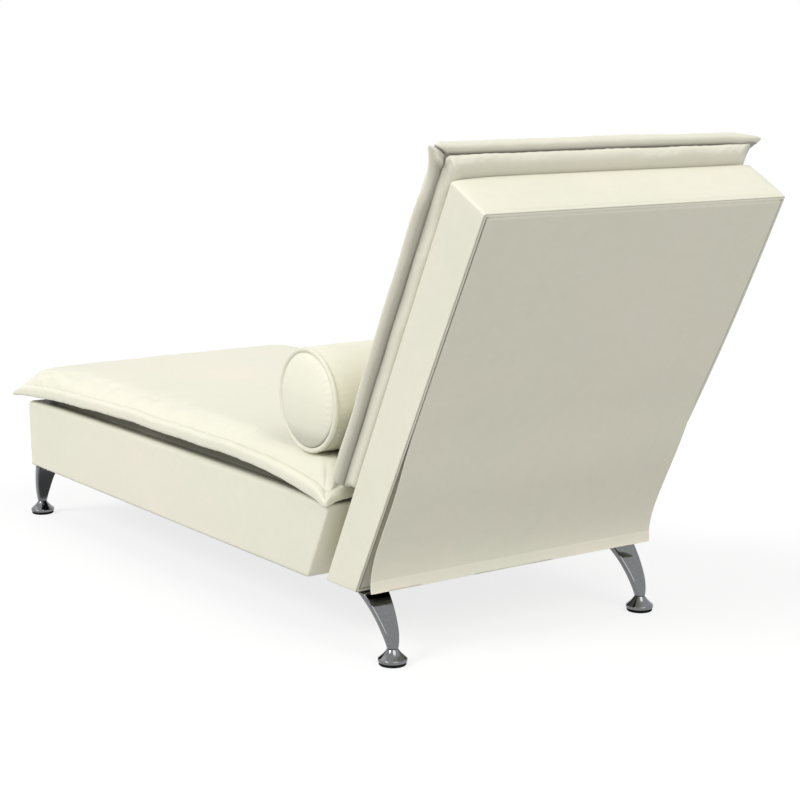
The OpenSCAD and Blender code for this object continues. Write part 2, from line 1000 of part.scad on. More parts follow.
// Conical feet on threaded stems, and the glides pressed on their spigots
module foot() {
    neck = leg_w_neck / 2;
    color(steel)
        rotate_extrude($fn = 64)
            polygon([
                [0, glide_t - spigot_h],
                [spigot_r, glide_t - spigot_h],
                [spigot_r, glide_t],
                [foot_r - foot_bevel, glide_t],
                [foot_r, glide_t + foot_bevel],
                [foot_r, glide_t + foot_edge_h],
                [foot_r - foot_bevel, glide_t + foot_edge_h + foot_bevel],
                [neck + 1, foot_h - 1],
                [neck, foot_h],
                [stem_r, foot_h],
                [stem_r, foot_h + stem_in],
                [0, foot_h + stem_in]
            ]);
}

module glide() {
    color(black)
        rotate_extrude($fn = 64)
            polygon([
                [0, 0],
                [foot_r - 2 * foot_bevel, 0],
                [foot_r - foot_bevel, foot_bevel],
                [foot_r - foot_bevel, glide_t],
                [spigot_r + thread_clear, glide_t],
                [spigot_r + thread_clear, glide_t - spigot_h],
                [0, glide_t - spigot_h]
            ]);
}

module foot_front_left() {
    place()
        front_foot(1)
            foot();
}

module foot_front_right() {
    place()
        front_foot(-1)
            foot();
}

module foot_rear_left() {
    place()
        rear_foot(1)
            foot();
}

module foot_rear_right() {
    place()
        rear_foot(-1)
            foot();
}

module glide_front_left() {
    place()
        front_foot(1)
            glide();
}

module glide_front_right() {
    place()
        front_foot(-1)
            glide();
}

module glide_rear_left() {
    place()
        rear_foot(1)
            glide();
}

module glide_rear_right() {
    place()
        rear_foot(-1)
            glide();
}

// Bolster frame: z along the bolster's axis, towards the sitter's left
module on_bolster() {
    place()
        translate([0, bolster_y, bolster_z])
            rotate([0, 90, 0])
                children();
}

// Closing strip's place, turned into the angle between the pads
module zip_turn() {
    rotate([0, 0, 45 - lean / 2])
        children();
}

module bolster_cover() {
    color(cream)
        on_bolster()
            difference() {
                rotate_extrude($fn = 96)
                    difference() {
                        translate([bolster_r - bolster_wall, -piping_x])
                            square([bolster_wall, 2 * piping_x]);
                        for (z = [-piping_x, piping_x])
                            translate([piping_at, z])
                                circle(r = piping_r + touch_gap, $fn = 32);
                    }
                zip_turn()
                    translate([bolster_r - 2 * bolster_wall, -zip_w / 2, -zip_len / 2])
                        cube([3 * bolster_wall, zip_w, zip_len]);
            }
}

module bolster_core() {
    long = piping_x - piping_r - touch_gap;
    color(foam)
        on_bolster()
            cylinder(h = 2 * long, r = bolster_r - bolster_wall - touch_gap, center = true, $fn = 96);
}

module bolster_piping(side) {
    color(cream)
        on_bolster()
            translate([0, 0, side * piping_x])
                rotate_extrude($fn = 96)
                    translate([piping_at, 0])
                        circle(r = piping_r, $fn = 32);
}

module bolster_piping_left() {
    bolster_piping(1);
}

module bolster_piping_right() {
    bolster_piping(-1);
}

module bolster_end(side) {
    edge = piping_at;
    inner = piping_x - piping_r;
    color(cream)
        on_bolster()
            mirror([0, 0, side < 0 ? 1 : 0])
                rotate_extrude($fn = 96)
                    difference() {
                        polygon(concat(
                            [[0, inner], [edge, inner]],
                            [for (i = [disc_steps:-1:0])
                                let (t = i / disc_steps)
                                [edge * t, inner + disc_t + end_dome * (1 - t * t)]]
                        ));
                        translate([edge, piping_x])
                            circle(r = piping_r + touch_gap, $fn = 32);
                    }
}

module bolster_end_left() {
    bolster_end(1);
}

module bolster_end_right() {
    bolster_end(-1);
}

module bolster_zip() {
    color(shade)
        on_bolster()
            zip_turn() {
                translate([bolster_r - bolster_wall + 0.1, -zip_w / 2, -zip_len / 2])
                    cube([zip_t, zip_w, zip_len]);
                translate([bolster_r - bolster_wall + 0.1 + zip_t, -zip_w / 4, zip_len / 2 - 2 * zip_w])
                    cube([zip_t, zip_w / 2, zip_w]);
            }
}

seat_side_rail_left();
seat_side_rail_right();
seat_foot_rail();
seat_head_rail();
seat_slats();
seat_leg_blocks();
seat_deck();
seat_deck_padding();
seat_cover();
seat_dust_cloth();
seat_pad_cover();
seat_pad_foam();
back_stile_left();
back_stile_right();
back_sill();
back_bolt_rail();
back_middle_rail();
back_top_rail();
back_front_board();
back_cover();
rear_panel();
hook_tape();
rear_flap();
loop_tape();
back_pad_cover();
back_pad_foam();
joint_bolts();
joint_spacers();
joint_washers();
joint_wing_nuts();
leg_front_left();
leg_front_right();
leg_rear_left();
leg_rear_right();
leg_screws();
foot_front_left();
foot_front_right();
foot_rear_left();
foot_rear_right();
glide_front_left();
glide_front_right();
glide_rear_left();
glide_rear_right();
bolster_cover();
bolster_core();
bolster_piping_left();
bolster_piping_right();
bolster_end_left();
bolster_end_right();
bolster_zip();
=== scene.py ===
import json
import math

import bpy
import numpy as np
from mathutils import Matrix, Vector


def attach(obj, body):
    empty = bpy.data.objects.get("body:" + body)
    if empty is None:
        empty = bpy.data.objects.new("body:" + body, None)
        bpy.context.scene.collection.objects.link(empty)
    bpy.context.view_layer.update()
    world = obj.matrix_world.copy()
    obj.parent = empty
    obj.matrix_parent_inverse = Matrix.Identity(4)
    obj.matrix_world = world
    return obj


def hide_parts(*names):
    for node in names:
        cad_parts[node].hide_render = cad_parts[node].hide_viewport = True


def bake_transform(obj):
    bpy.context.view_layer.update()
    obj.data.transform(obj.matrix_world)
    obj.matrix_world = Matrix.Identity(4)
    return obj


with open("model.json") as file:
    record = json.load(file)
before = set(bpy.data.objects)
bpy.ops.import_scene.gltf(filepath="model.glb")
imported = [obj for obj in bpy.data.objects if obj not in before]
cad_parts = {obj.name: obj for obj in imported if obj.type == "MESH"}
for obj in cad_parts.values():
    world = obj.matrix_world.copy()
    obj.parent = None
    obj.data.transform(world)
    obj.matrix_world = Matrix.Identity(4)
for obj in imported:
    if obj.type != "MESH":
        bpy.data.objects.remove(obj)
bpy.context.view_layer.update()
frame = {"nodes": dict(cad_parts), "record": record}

# Main sizes of the frame, in metres and degrees
couch = {
    "seatW": 0.600,
    "seatLen": 1.038,
    "seatH": 0.129,
    "legH": 0.108,
    "lean": 27.0,
    "backW": 0.572,
    "backLen": 0.716,
    "backLow": 0.075,
    "backTop": 0.087,
    "backGap": 0.029,
    "skin": 0.003,
    "midY": 0.7170611,
    "bolsterY": 1.0227,
    "bolsterR": 0.0832,
}

lean = math.radians(couch["lean"])
sinL, cosL, tanL = math.sin(lean), math.cos(lean), math.tan(lean)
legH, midY = couch["legH"], couch["midY"]
seatTop = legH + couch["seatH"]
backY = couch["seatLen"] + couch["backGap"] / cosL
rearLowY = backY + couch["backLow"] / cosL
rearLowU = couch["backLow"] * tanL
rearTurn = math.atan((couch["backTop"] - couch["backLow"]) / (couch["backLen"] - rearLowU))
rearTilt = lean + rearTurn


# Weights from 0 to 1 along a distance v, with a width w

def ramp(v, w):
    # Straight up from 0 at v = 0 to 1 at v = w
    return np.clip(v / w, 0, 1)


def tent(v, w):
    # 1 in the middle, straight down to 0 on both sides
    return np.clip(1 - np.abs(v) / w, 0, 1)


def bell(v, w):
    # 1 in the middle, the exponential of minus the square on both sides
    return np.exp(-((v / w) ** 2))


def fade(v, w):
    # 1 up to v = 0, then an exponential decay
    return np.exp(-np.maximum(0, v) / w)


# Mesh making

def linked(name, data):
    obj = bpy.data.objects.new(name, data)
    bpy.context.scene.collection.objects.link(obj)
    return obj


def meshObject(name, verts, quads, tris):
    # Turned round as a whole where the skin's signed volume is negative
    v = verts - verts.mean(0)
    three = np.concatenate([quads[:, [0, 1, 2]], quads[:, [0, 2, 3]], tris])
    volume = np.einsum("ij,ij->i", v[three[:, 0]], np.cross(v[three[:, 1]], v[three[:, 2]])).sum()
    if volume <= 0:
        quads, tris = quads[:, ::-1], tris[:, ::-1]
    mesh = bpy.data.meshes.new(name)
    mesh.vertices.add(len(verts))
    mesh.vertices.foreach_set("co", np.ascontiguousarray(verts, np.float32).ravel())
    loops = np.concatenate([quads.ravel(), tris.ravel()]).astype(np.int32)
    mesh.loops.add(len(loops))
    mesh.loops.foreach_set("vertex_index", loops)
    starts = np.concatenate([np.arange(len(quads)) * 4, len(quads) * 4 + np.arange(len(tris)) * 3])
    mesh.polygons.add(len(starts))
    mesh.polygons.foreach_set("loop_start", starts.astype(np.int32))
    mesh.update(calc_edges=True)
    mesh.validate()
    mesh.polygons.foreach_set("use_smooth", np.ones(len(mesh.polygons), bool))
    return linked(name, mesh)


def ringQuads(k, n, joined):
    # Faces between each ring and the next; joined: the last ring meets the first
    row = np.arange(k if joined else k - 1)[:, None]
    here, there = row * n, (row + 1) % k * n
    left = np.arange(n)[None, :]
    right = (left + 1) % n
    return np.stack([here + left, here + right, there + right, there + left], -1).reshape(-1, 4)


def closedSkin(name, rings, low, high):
    # A stack of rings, each end closed by triangles to one point
    k, n, _ = rings.shape
    i = np.arange(n)
    j = (i + 1) % n
    top = (k - 1) * n
    tris = np.concatenate([
        np.stack([np.full(n, k * n), j, i], -1),
        np.stack([np.full(n, k * n + 1), top + i, top + j], -1),
    ])
    verts = np.concatenate([rings.reshape(-1, 3), [low, high]])
    return meshObject(name, verts, ringQuads(k, n, False), tris)


def tubeSkin(name, rings):
    # A ring of rings, closed both ways, such as piping
    quads = ringQuads(*rings.shape[:2], True)
    return meshObject(name, rings.reshape(-1, 3), quads, np.zeros((0, 3), int))


def setTone(obj, values):
    # Positive: painted shade, or a seam line, towards the seam's dark colour; negative: painted light, paler
    tone = np.zeros(len(obj.data.vertices), np.float32)
    values = np.asarray(values, np.float32).ravel()
    tone[: len(values)] = values
    obj.data.attributes.new("tone", "FLOAT", "POINT").data.foreach_set("value", tone)


def curveThrough(points, steps):
    # Smooth path through control rows: cubic through each four neighbours
    p = np.asarray(points, float)
    p = np.concatenate([[2 * p[0] - p[1]], p, [2 * p[-1] - p[-2]]])
    out = []
    for a, b, c, d, count in zip(p, p[1:], p[2:], p[3:], steps):
        t = np.linspace(0, 1, count + 1)[:-1, None]
        square, cube = 2 * a - 5 * b + 4 * c - d, 3 * b - a - 3 * c + d
        out.append(0.5 * (2 * b + (c - a) * t + square * t**2 + cube * t**3))
    return np.concatenate([*out, p[-2][None, :]])


def softNoise(p, scale, seed):
    # Sum of nine seeded sine waves in three directions, about -1 to 1
    rng = np.random.default_rng(seed)
    total = np.zeros(p.shape[:-1])
    for _ in range(9):
        direction = rng.normal(size=3)
        direction /= np.linalg.norm(direction)
        total += np.sin(p @ direction * scale * rng.uniform(0.5, 1.6) + rng.uniform(0, 6.28))
    return total / 3


def crowd(t, gather):
    # Shares from 0 to 1 crowded towards both ends
    return t - gather * np.sin(2 * math.pi * t) / (2 * math.pi)


def roundedOutline(half, y0, y1, radius, draw, counts, gather=0.0):
    # Once round a rounded rectangle, counter-clockwise from the +x side; each side is drawn in by a parabola
    # radius: one value, or one for the low end and one for the high end
    # gather: crowds the points towards the corners
    low, high = radius if isinstance(radius, tuple) else (radius, radius)
    side, end, turn = counts
    s, e = crowd(np.arange(side) / side, gather), crowd(np.arange(end) / end, gather)
    q = np.arange(turn) / turn * math.pi / 2
    bowS, bowE = 4 * draw * s * (1 - s), 4 * draw * e * (1 - e)
    span = y1 - y0 - low - high
    inHigh, inLow, head, foot = half - high, half - low, y1 - high, y0 + low
    # Each side, then the middle and radius of the arc that follows it
    sides = [
        (half - bowS, foot + span * s, inHigh, head, high),
        (inHigh * (1 - 2 * e), y1 - bowE, -inHigh, head, high),
        (bowS - half, head - span * s, -inLow, foot, low),
        (inLow * (2 * e - 1), y0 + bowE, inLow, foot, low),
    ]
    parts = []
    for k, (x, y, cx, cy, r) in enumerate(sides):
        angle = q + k * math.pi / 2
        parts += [np.stack([x, y], -1), np.stack([cx + r * np.cos(angle), cy + r * np.sin(angle)], -1)]
    return np.concatenate(parts)


def atHeight(line, z):
    # An outline lifted to one height, or to a height for each of its points
    return np.column_stack([line, np.broadcast_to(z, len(line))])


def onBack(p):
    # From the leaning back's frame (x, u up the slope, n towards the sitter) to the row frame
    x, u, n = np.moveaxis(np.asarray(p, float), -1, 0)
    return np.stack([x, backY + u * sinL - n * cosL - midY, legH + u * cosL + n * sinL], -1)


def onSeat(p):
    # From the seat box's frame (x, y from its foot end, z over its top) to the row frame
    return np.asarray(p, float) + np.array([0, -midY, seatTop])


def seatEnd(z):
    # The seat box's head end: the back's front face moved by the gap
    return backY + (z - legH) * tanL - couch["backGap"] / cosL


# Materials

def emptyTree(block):
    block.use_nodes = True
    block.node_tree.nodes.clear()
    return block.node_tree


def fill(tree, node, inputs):
    # Each input by its name or number: a plain value, a colour or another node's output
    for key, value in inputs.items():
        socket = node.inputs[key]
        if isinstance(value, bpy.types.NodeSocket):
            tree.links.new(value, socket)
        else:
            socket.default_value = (*value, 1) if socket.type == "RGBA" else value
    return node


def addNode(tree, kind, inputs):
    return fill(tree, tree.nodes.new("ShaderNode" + kind), inputs)


def newMaterial(name):
    mat = bpy.data.materials.new(name)
    tree = emptyTree(mat)
    shader = addNode(tree, "BsdfPrincipled", {})
    addNode(tree, "OutputMaterial", {0: shader.outputs[0]})
    return mat, tree, shader, addNode(tree, "TexCoord", {}).outputs["Object"]


def noiseNode(tree, coords, scale, detail=4.0, rough=0.5, stretch=None):
    if stretch is not None:
        coords = addNode(tree, "Mapping", {"Vector": coords, "Scale": stretch}).outputs[0]
    inputs = {"Vector": coords, "Scale": scale, "Detail": detail, "Roughness": rough}
    return addNode(tree, "TexNoise", inputs).outputs["Fac"]


def rampNode(tree, fac, low, high, colorA, colorB):
    node = addNode(tree, "ValToRGB", {0: fac})
    for stop, at, color in zip(node.color_ramp.elements, (low, high), (colorA, colorB)):
        stop.position = at
        stop.color = (*color, 1)
    return node.outputs[0]


def remap(tree, fac, a, b, low=0.0, high=1.0):
    inputs = {"Value": fac, "From Min": low, "From Max": high, "To Min": a, "To Max": b}
    return addNode(tree, "MapRange", inputs).outputs[0]


def mathNode(tree, kind, a, b):
    node = addNode(tree, "Math", {0: a, 1: b})
    node.operation = kind
    return node.outputs[0]


def mixColor(tree, fac, a, b, kind="MIX"):
    node = tree.nodes.new("ShaderNodeMix")
    node.data_type = "RGBA"
    node.blend_type = kind
    return fill(tree, node, {0: fac, 6: a, 7: b}).outputs[2]


def bumpNode(tree, height, strength, distance, **more):
    inputs = {"Strength": strength, "Distance": distance, "Height": height, **more}
    return addNode(tree, "Bump", inputs).outputs[0]


def toneNode(tree):
    node = tree.nodes.new("ShaderNodeAttribute")
    node.attribute_name = "tone"
    return node.outputs["Fac"]


leather = {
    "warm": (0.845, 0.802, 0.678),
    "cool": (0.795, 0.786, 0.648),
    # seam: the dark colour for seam lines and for painted shade; paler: how far painted light lightens it
    "seam": (0.095, 0.089, 0.068),
    "paler": 1.15,
    "roughLow": 0.42,
    "roughHigh": 0.56,
    "grainScale": 620.0,
    "grainDepth": 0.00022,
    "poreScale": 1400.0,
    "mottleScale": 5.0,
    "slowScale": 18.0,
    "slowDepth": 0.0016,
}


def leatherMaterial(name, lift=1.0):
    # Coated upholstery hide: slow warm and cool mottling and a fine pebble grain
    # The tone attribute paints shade and light: above zero it darkens towards the seam colour, for seam
    # lines and for painted shade in slits, grooves, creases and recesses; below zero it makes it paler,
    # painted light
    mat, tree, shader, coords = newMaterial(name)
    warm, cool, seam = (tuple(min(1.0, v * lift) for v in leather[key]) for key in ("warm", "cool", "seam"))
    mottle = noiseNode(tree, coords, leather["mottleScale"], 3.0)
    tint = rampNode(tree, mottle, 0.35, 0.68, cool, warm)
    fine = noiseNode(tree, coords, 60.0, 5.0, 0.6)
    tint = mixColor(tree, remap(tree, fine, 0.0, 0.10, 0.4, 0.75), tint, cool, "MULTIPLY")
    tone = toneNode(tree)
    tint = mixColor(tree, 1.0, tint, remap(tree, tone, leather["paler"], 1.0, -1.0, 0.0), "MULTIPLY")
    cells = tree.nodes.new("ShaderNodeTexVoronoi")
    cells.feature = "SMOOTH_F1"
    fill(tree, cells, {"Vector": coords, "Scale": leather["grainScale"], "Smoothness": 0.7})
    pores = noiseNode(tree, coords, leather["poreScale"], 3.0)
    height = mathNode(tree, "ADD", cells.outputs["Distance"], mathNode(tree, "MULTIPLY", pores, 0.4))
    grain = bumpNode(tree, height, 0.30, leather["grainDepth"])
    slow = noiseNode(tree, coords, leather["slowScale"], 3.0)
    fill(tree, shader, {
        "Base Color": mixColor(tree, remap(tree, tone, 0.0, 1.0), tint, seam),
        "Roughness": remap(tree, mottle, leather["roughLow"], leather["roughHigh"], 0.3, 0.7),
        "Specular IOR Level": 0.38,
        "Coat Weight": 0.05,
        "Coat Roughness": 0.35,
        "Normal": bumpNode(tree, slow, 0.35, leather["slowDepth"], Normal=grain),
    })
    return mat


def woodMaterial(name, pale, dark, stretch):
    # Planed softwood: long grain from stretched noise, fine pores
    mat, tree, shader, coords = newMaterial(name)
    grain = noiseNode(tree, coords, 14.0, 6.0, 0.6, stretch)
    tint = rampNode(tree, grain, 0.32, 0.68, dark, pale)
    fibre = noiseNode(tree, coords, 160.0, 3.0, 0.6, stretch)
    fill(tree, shader, {
        "Base Color": mixColor(tree, remap(tree, fibre, 0.0, 0.3), tint, dark, "MULTIPLY"),
        "Roughness": remap(tree, fibre, 0.55, 0.8),
        "Normal": bumpNode(tree, fibre, 0.4, 0.0005),
    })
    return mat


def foamMaterial(name):
    # Open-cell foam: small round cells in bump and tint
    mat, tree, shader, coords = newMaterial(name)
    cells = addNode(tree, "TexVoronoi", {"Vector": coords, "Scale": 700.0}).outputs["Distance"]
    fill(tree, shader, {
        "Base Color": rampNode(tree, cells, 0.1, 0.7, (0.72, 0.62, 0.34), (0.86, 0.78, 0.50)),
        "Roughness": 0.95,
        "Normal": bumpNode(tree, cells, 0.7, 0.0006),
    })
    return mat


def weaveMaterial(name, color, scale):
    # Woven or felted cloth: two crossed sets of fine threads
    mat, tree, shader, coords = newMaterial(name)
    inputs = {"Vector": coords, "Scale": scale, "Distortion": 0.4}
    waves = [addNode(tree, "TexWave", inputs) for _ in range(2)]
    waves[0].bands_direction, waves[1].bands_direction = "X", "Y"
    threads = mathNode(tree, "MULTIPLY", waves[0].outputs["Fac"], waves[1].outputs["Fac"])
    fill(tree, shader, {
        "Base Color": rampNode(tree, threads, 0.1, 0.8, tuple(0.6 * c for c in color), color),
        "Roughness": 0.9,
        "Normal": bumpNode(tree, threads, 0.5, 0.0004),
    })
    return mat


def chromeMaterial(name):
    # Polished plating over cast metal: faint swirl marks in the roughness and slow waviness in the bump
    # The tone attribute makes it darker: a painted dark reflection
    mat, tree, shader, coords = newMaterial(name)
    haze = noiseNode(tree, coords, 240.0, 5.0, 0.7)
    tint = rampNode(tree, haze, 0.3, 0.7, (0.175, 0.18, 0.185), (0.225, 0.23, 0.235))
    fill(tree, shader, {
        "Base Color": mixColor(tree, remap(tree, toneNode(tree), 0.0, 1.0), tint, (0.012, 0.012, 0.013)),
        "Metallic": 1.0,
        "Roughness": remap(tree, haze, 0.06, 0.14, 0.3, 0.7),
        "Normal": bumpNode(tree, noiseNode(tree, coords, 45.0, 2.0), 0.12, 0.0008),
    })
    return mat


def steelMaterial(name):
    # Zinc-plated hardware: fine crystalline speckle and drawn lines
    mat, tree, shader, coords = newMaterial(name)
    speckle = noiseNode(tree, coords, 500.0, 4.0, 0.7)
    lines = noiseNode(tree, coords, 300.0, 2.0, 0.5, (1.0, 1.0, 12.0))
    fill(tree, shader, {
        "Base Color": rampNode(tree, speckle, 0.3, 0.7, (0.46, 0.47, 0.49), (0.62, 0.63, 0.64)),
        "Metallic": 1.0,
        "Roughness": remap(tree, speckle, 0.25, 0.42),
        "Normal": bumpNode(tree, lines, 0.2, 0.0002),
    })
    return mat


def plasticMaterial(name, color, rough, shine):
    # Moulded black part: fine pitted texture, slightly worn
    mat, tree, shader, coords = newMaterial(name)
    pits = noiseNode(tree, coords, 900.0, 3.0)
    fill(tree, shader, {
        "Base Color": rampNode(tree, pits, 0.3, 0.75, color, tuple(1.8 * c + 0.01 for c in color)),
        "Specular IOR Level": shine,
        "Roughness": remap(tree, pits, rough, rough + 0.15),
        "Normal": bumpNode(tree, pits, 0.3, 0.0003),
    })
    return mat


# By slot, but for the rear sheet's own: the same leather 3 % darker, painted shade
mats = {
    "cream_leather": leatherMaterial("coatedLeather"),
    "rear": leatherMaterial("coatedLeatherRearShaded", 0.97),
    "timber": woodMaterial("planedTimber", (0.60, 0.43, 0.24), (0.42, 0.27, 0.13), (1.0, 0.12, 1.0)),
    "board": woodMaterial("plainBoard", (0.50, 0.34, 0.18), (0.36, 0.23, 0.11), (0.3, 0.3, 1.0)),
    "foam": foamMaterial("openFoam"),
    "dust_cloth": weaveMaterial("dustCloth", (0.035, 0.035, 0.035), 180.0),
    "tape": weaveMaterial("wovenTape", (0.62, 0.61, 0.53), 260.0),
    "chrome": chromeMaterial("polishedChrome"),
    "steel": steelMaterial("zincSteel"),
    "black_plastic": plasticMaterial("blackPlastic", (0.018, 0.018, 0.018), 0.4, 0.5),
    "black_rubber": plasticMaterial("blackRubber", (0.008, 0.008, 0.008), 0.7, 0.06),
}


def dress(obj, slotName, body="couch", nodes=()):
    obj.data.materials.append(mats[slotName])
    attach(obj, body)
    if nodes:
        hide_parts(*nodes)


slotOf = {entry["node"]: entry["material_slot"] for entry in frame["record"]["subparts"]}
for nodeName, nodeObject in frame["nodes"].items():
    nodeObject.data.materials.clear()
    nodeObject.data.materials.append(mats[slotOf[nodeName]])
print("materials done")


# Padding: rows of offsets in millimetres from the box's edges, walked round a rounded rectangle

def padGrid(pad, half, y0, y1, steps, counts, gather, shares):
    # Rings up the pad's rolled edge, their corners pulled out as ears and thinned, then drooped
    # Inside them the last ring is drawn together under a crown that is a parabola both ways
    rows = curveThrough(pad["rows"], steps)
    params = np.concatenate([i + np.arange(n) / n for i, n in enumerate(steps)] + [[len(steps)]])
    rings = []
    for side, low, high, z, droop, radius, ear in rows[:, :7]:
        h, a, b = half + side / 1000, y0 - low / 1000, y1 + high / 1000
        line = roundedOutline(h, a, b, max(0.002, radius / 1000), pad["draw"], counts, gather)
        # Distances from the side edge and from both end edges, and the way out of the nearer corner
        dx, dLow, dHigh = h - np.abs(line[:, 0]), line[:, 1] - a, b - line[:, 1]
        way = np.stack([np.sign(line[:, 0]), np.where(dHigh < dLow, 1.0, -1.0)], -1) / math.sqrt(2)
        nearHigh, nearLow = (np.exp(-np.hypot(dx, d) / pad["earSpread"]) for d in (dHigh, dLow))
        far = line[:, 0] < 0
        out, thin = (
            pad[key + "Low"] * nearLow + np.where(far, pad[key + "Far"], pad[key + "High"]) * nearHigh
            for key in ("ear", "taper")
        )
        line = line + way * (ear * out)[:, None]
        lift, z = pad["rows"][pad["lowRow"]][3] / 1000, z / 1000
        height = lift + (z - lift) * (1 - ear * thin) if z > lift else np.full(len(line), z)
        rings.append(atHeight(line, height - droop * pad["droop"](line[:, 0], line[:, 1])))
    edge = rings[-1]
    a, b = pad["crownSpan"]
    mid, top = (a + b) / 2, pad["rows"][-1][3] / 1000
    for s in shares:
        x, y = edge[:, 0] * s, mid + (edge[:, 1] - mid) * s
        rise = np.maximum(0, 1 - ((2 * y - a - b) / (b - a)) ** 2) * (1 - (x / half) ** 2)
        rings.append(np.stack([x, y, top + pad["crown"] * rise], -1))
    params = np.concatenate([params, params[-1] + 1 - np.array(shares)])
    side, end, turn = counts
    columns = np.concatenate([k + np.arange(n) / n for k, n in enumerate([side, turn, end, turn] * 2)])
    whole = np.floor(columns)
    columns = np.where(whole % 2 == 0, whole + crowd(columns - whole, gather), columns)
    return np.array(rings), rows, params, columns, [0, mid, 0], [0, mid, top + pad["crown"]]


cloth = {
    "frames": 18,
    "mass": 0.4,
    "stretch": 22,
    "shear": 8,
    "bend": 1.5,
    "growth": 0.012,
}


def puffed(name, rings, low, high, pins, place, pressure, cap):
    # Cloth under inner pressure, held at its seams; gives how far each grid point moved, at most cap
    obj = closedSkin(name, place(rings), place(low), place(high))
    before = np.empty(len(obj.data.vertices) * 3, np.float32)
    obj.data.vertices.foreach_get("co", before)
    group = obj.vertex_groups.new(name="hold")
    k, n, _ = rings.shape
    pins = np.concatenate([np.repeat(pins, n), [1.0, pins[-1]]])
    for value in np.unique(pins):
        if value > 0:
            group.add(np.nonzero(pins == value)[0].tolist(), float(value), "REPLACE")
    modifier = obj.modifiers.new("cloth", "CLOTH")
    settings = modifier.settings
    settings.quality = 5
    settings.mass = cloth["mass"]
    settings.tension_stiffness = settings.compression_stiffness = cloth["stretch"]
    settings.shear_stiffness = cloth["shear"]
    settings.bending_stiffness = cloth["bend"]
    settings.shrink_min = -cloth["growth"]
    settings.use_pressure = True
    settings.uniform_pressure_force = pressure
    settings.vertex_group_mass = "hold"
    settings.effector_weights.gravity = 0
    modifier.point_cache.frame_start = 1
    modifier.point_cache.frame_end = cloth["frames"]
    for f in range(1, cloth["frames"] + 1):
        bpy.context.scene.frame_set(f)
    held = obj.evaluated_get(bpy.context.evaluated_depsgraph_get())
    after = np.empty_like(before)
    held.to_mesh().vertices.foreach_get("co", after)
    held.to_mesh_clear()
    bpy.data.objects.remove(obj)
    bpy.context.scene.frame_set(1)
    moved = (after - before).reshape(-1, 3)[: k * n].reshape(k, n, 3).astype(float)
    size = np.linalg.norm(moved, axis=-1, keepdims=True)
    print(name, "moved", float(size.max()))
    return moved * (cap / np.maximum(size, 1e-9)) * np.tanh(size / cap)


def spread(moved, fromRows, fromColumns, toRows, toColumns):
    # The coarse grid's movement carried to the fine grid by straight interpolation; once round is 8 columns
    wrap = np.concatenate([fromColumns, [8.0]])
    moved = np.concatenate([moved, moved[:, :1]], 1)
    across = np.array([[np.interp(toColumns, wrap, ring[:, i]) for i in range(3)] for ring in moved])
    across = across.transpose(0, 2, 1)
    position = np.interp(toRows, fromRows, np.arange(len(fromRows)))
    low = np.minimum(np.floor(position).astype(int), len(fromRows) - 2)
    share = (position - low)[:, None, None]
    return across[low] * (1 - share) + across[low + 1] * share


def buildPad(name, pad, half, y0, y1, place):
    # The fine grid, moved as the coarse one moves as cloth, and its tones of painted shade, which differ at
    # the high end
    shares = np.concatenate([np.linspace(0.975, 0.06, 34), [0.03]])
    rings, rows, params, columns, low, _ = padGrid(
        pad, half, y0, y1, pad["steps"], pad["counts"], pad["gather"], shares)
    few = [max(1, n // 2) for n in pad["steps"]]
    grid, _, cParams, cColumns, cLow, cHigh = padGrid(
        pad, half, y0, y1, few, pad["coarse"], 0.0, np.linspace(0.94, 0.04, 20))
    pins = np.round(np.interp(cParams, pad["pinRows"], pad["pins"]), 2)
    moved = puffed(name + "Cloth", grid, cLow, cHigh, pins, place, pad["pressure"], pad["cap"])
    shift = spread(moved, cParams, cColumns, params, columns)
    # The innermost rings move as one
    inner = ramp(np.concatenate([np.ones(len(rows)), shares]) - 0.03, 0.2)[:, None, None]
    centre = shift[-1].mean(axis=0)
    rings = place(rings) + (centre + (shift - centre) * inner) * pad["free"](rings)[..., None]
    tones = np.zeros(rings.shape[:2])
    onEnd = np.clip(1.5 - np.abs(columns - 2.5), 0, 1)[None, :]
    tones[: len(rows)] = rows[:, 7][:, None] * (1 - onEnd) + rows[:, -1][:, None] * onEnd
    flange = np.pad(rows[:, 6], (0, len(rings) - len(rows)))
    return rings, tones, rows, flange, params, low


# Seat pad: crowned pad on a drawn-in foot, with a soft flange that droops towards its pointed corners

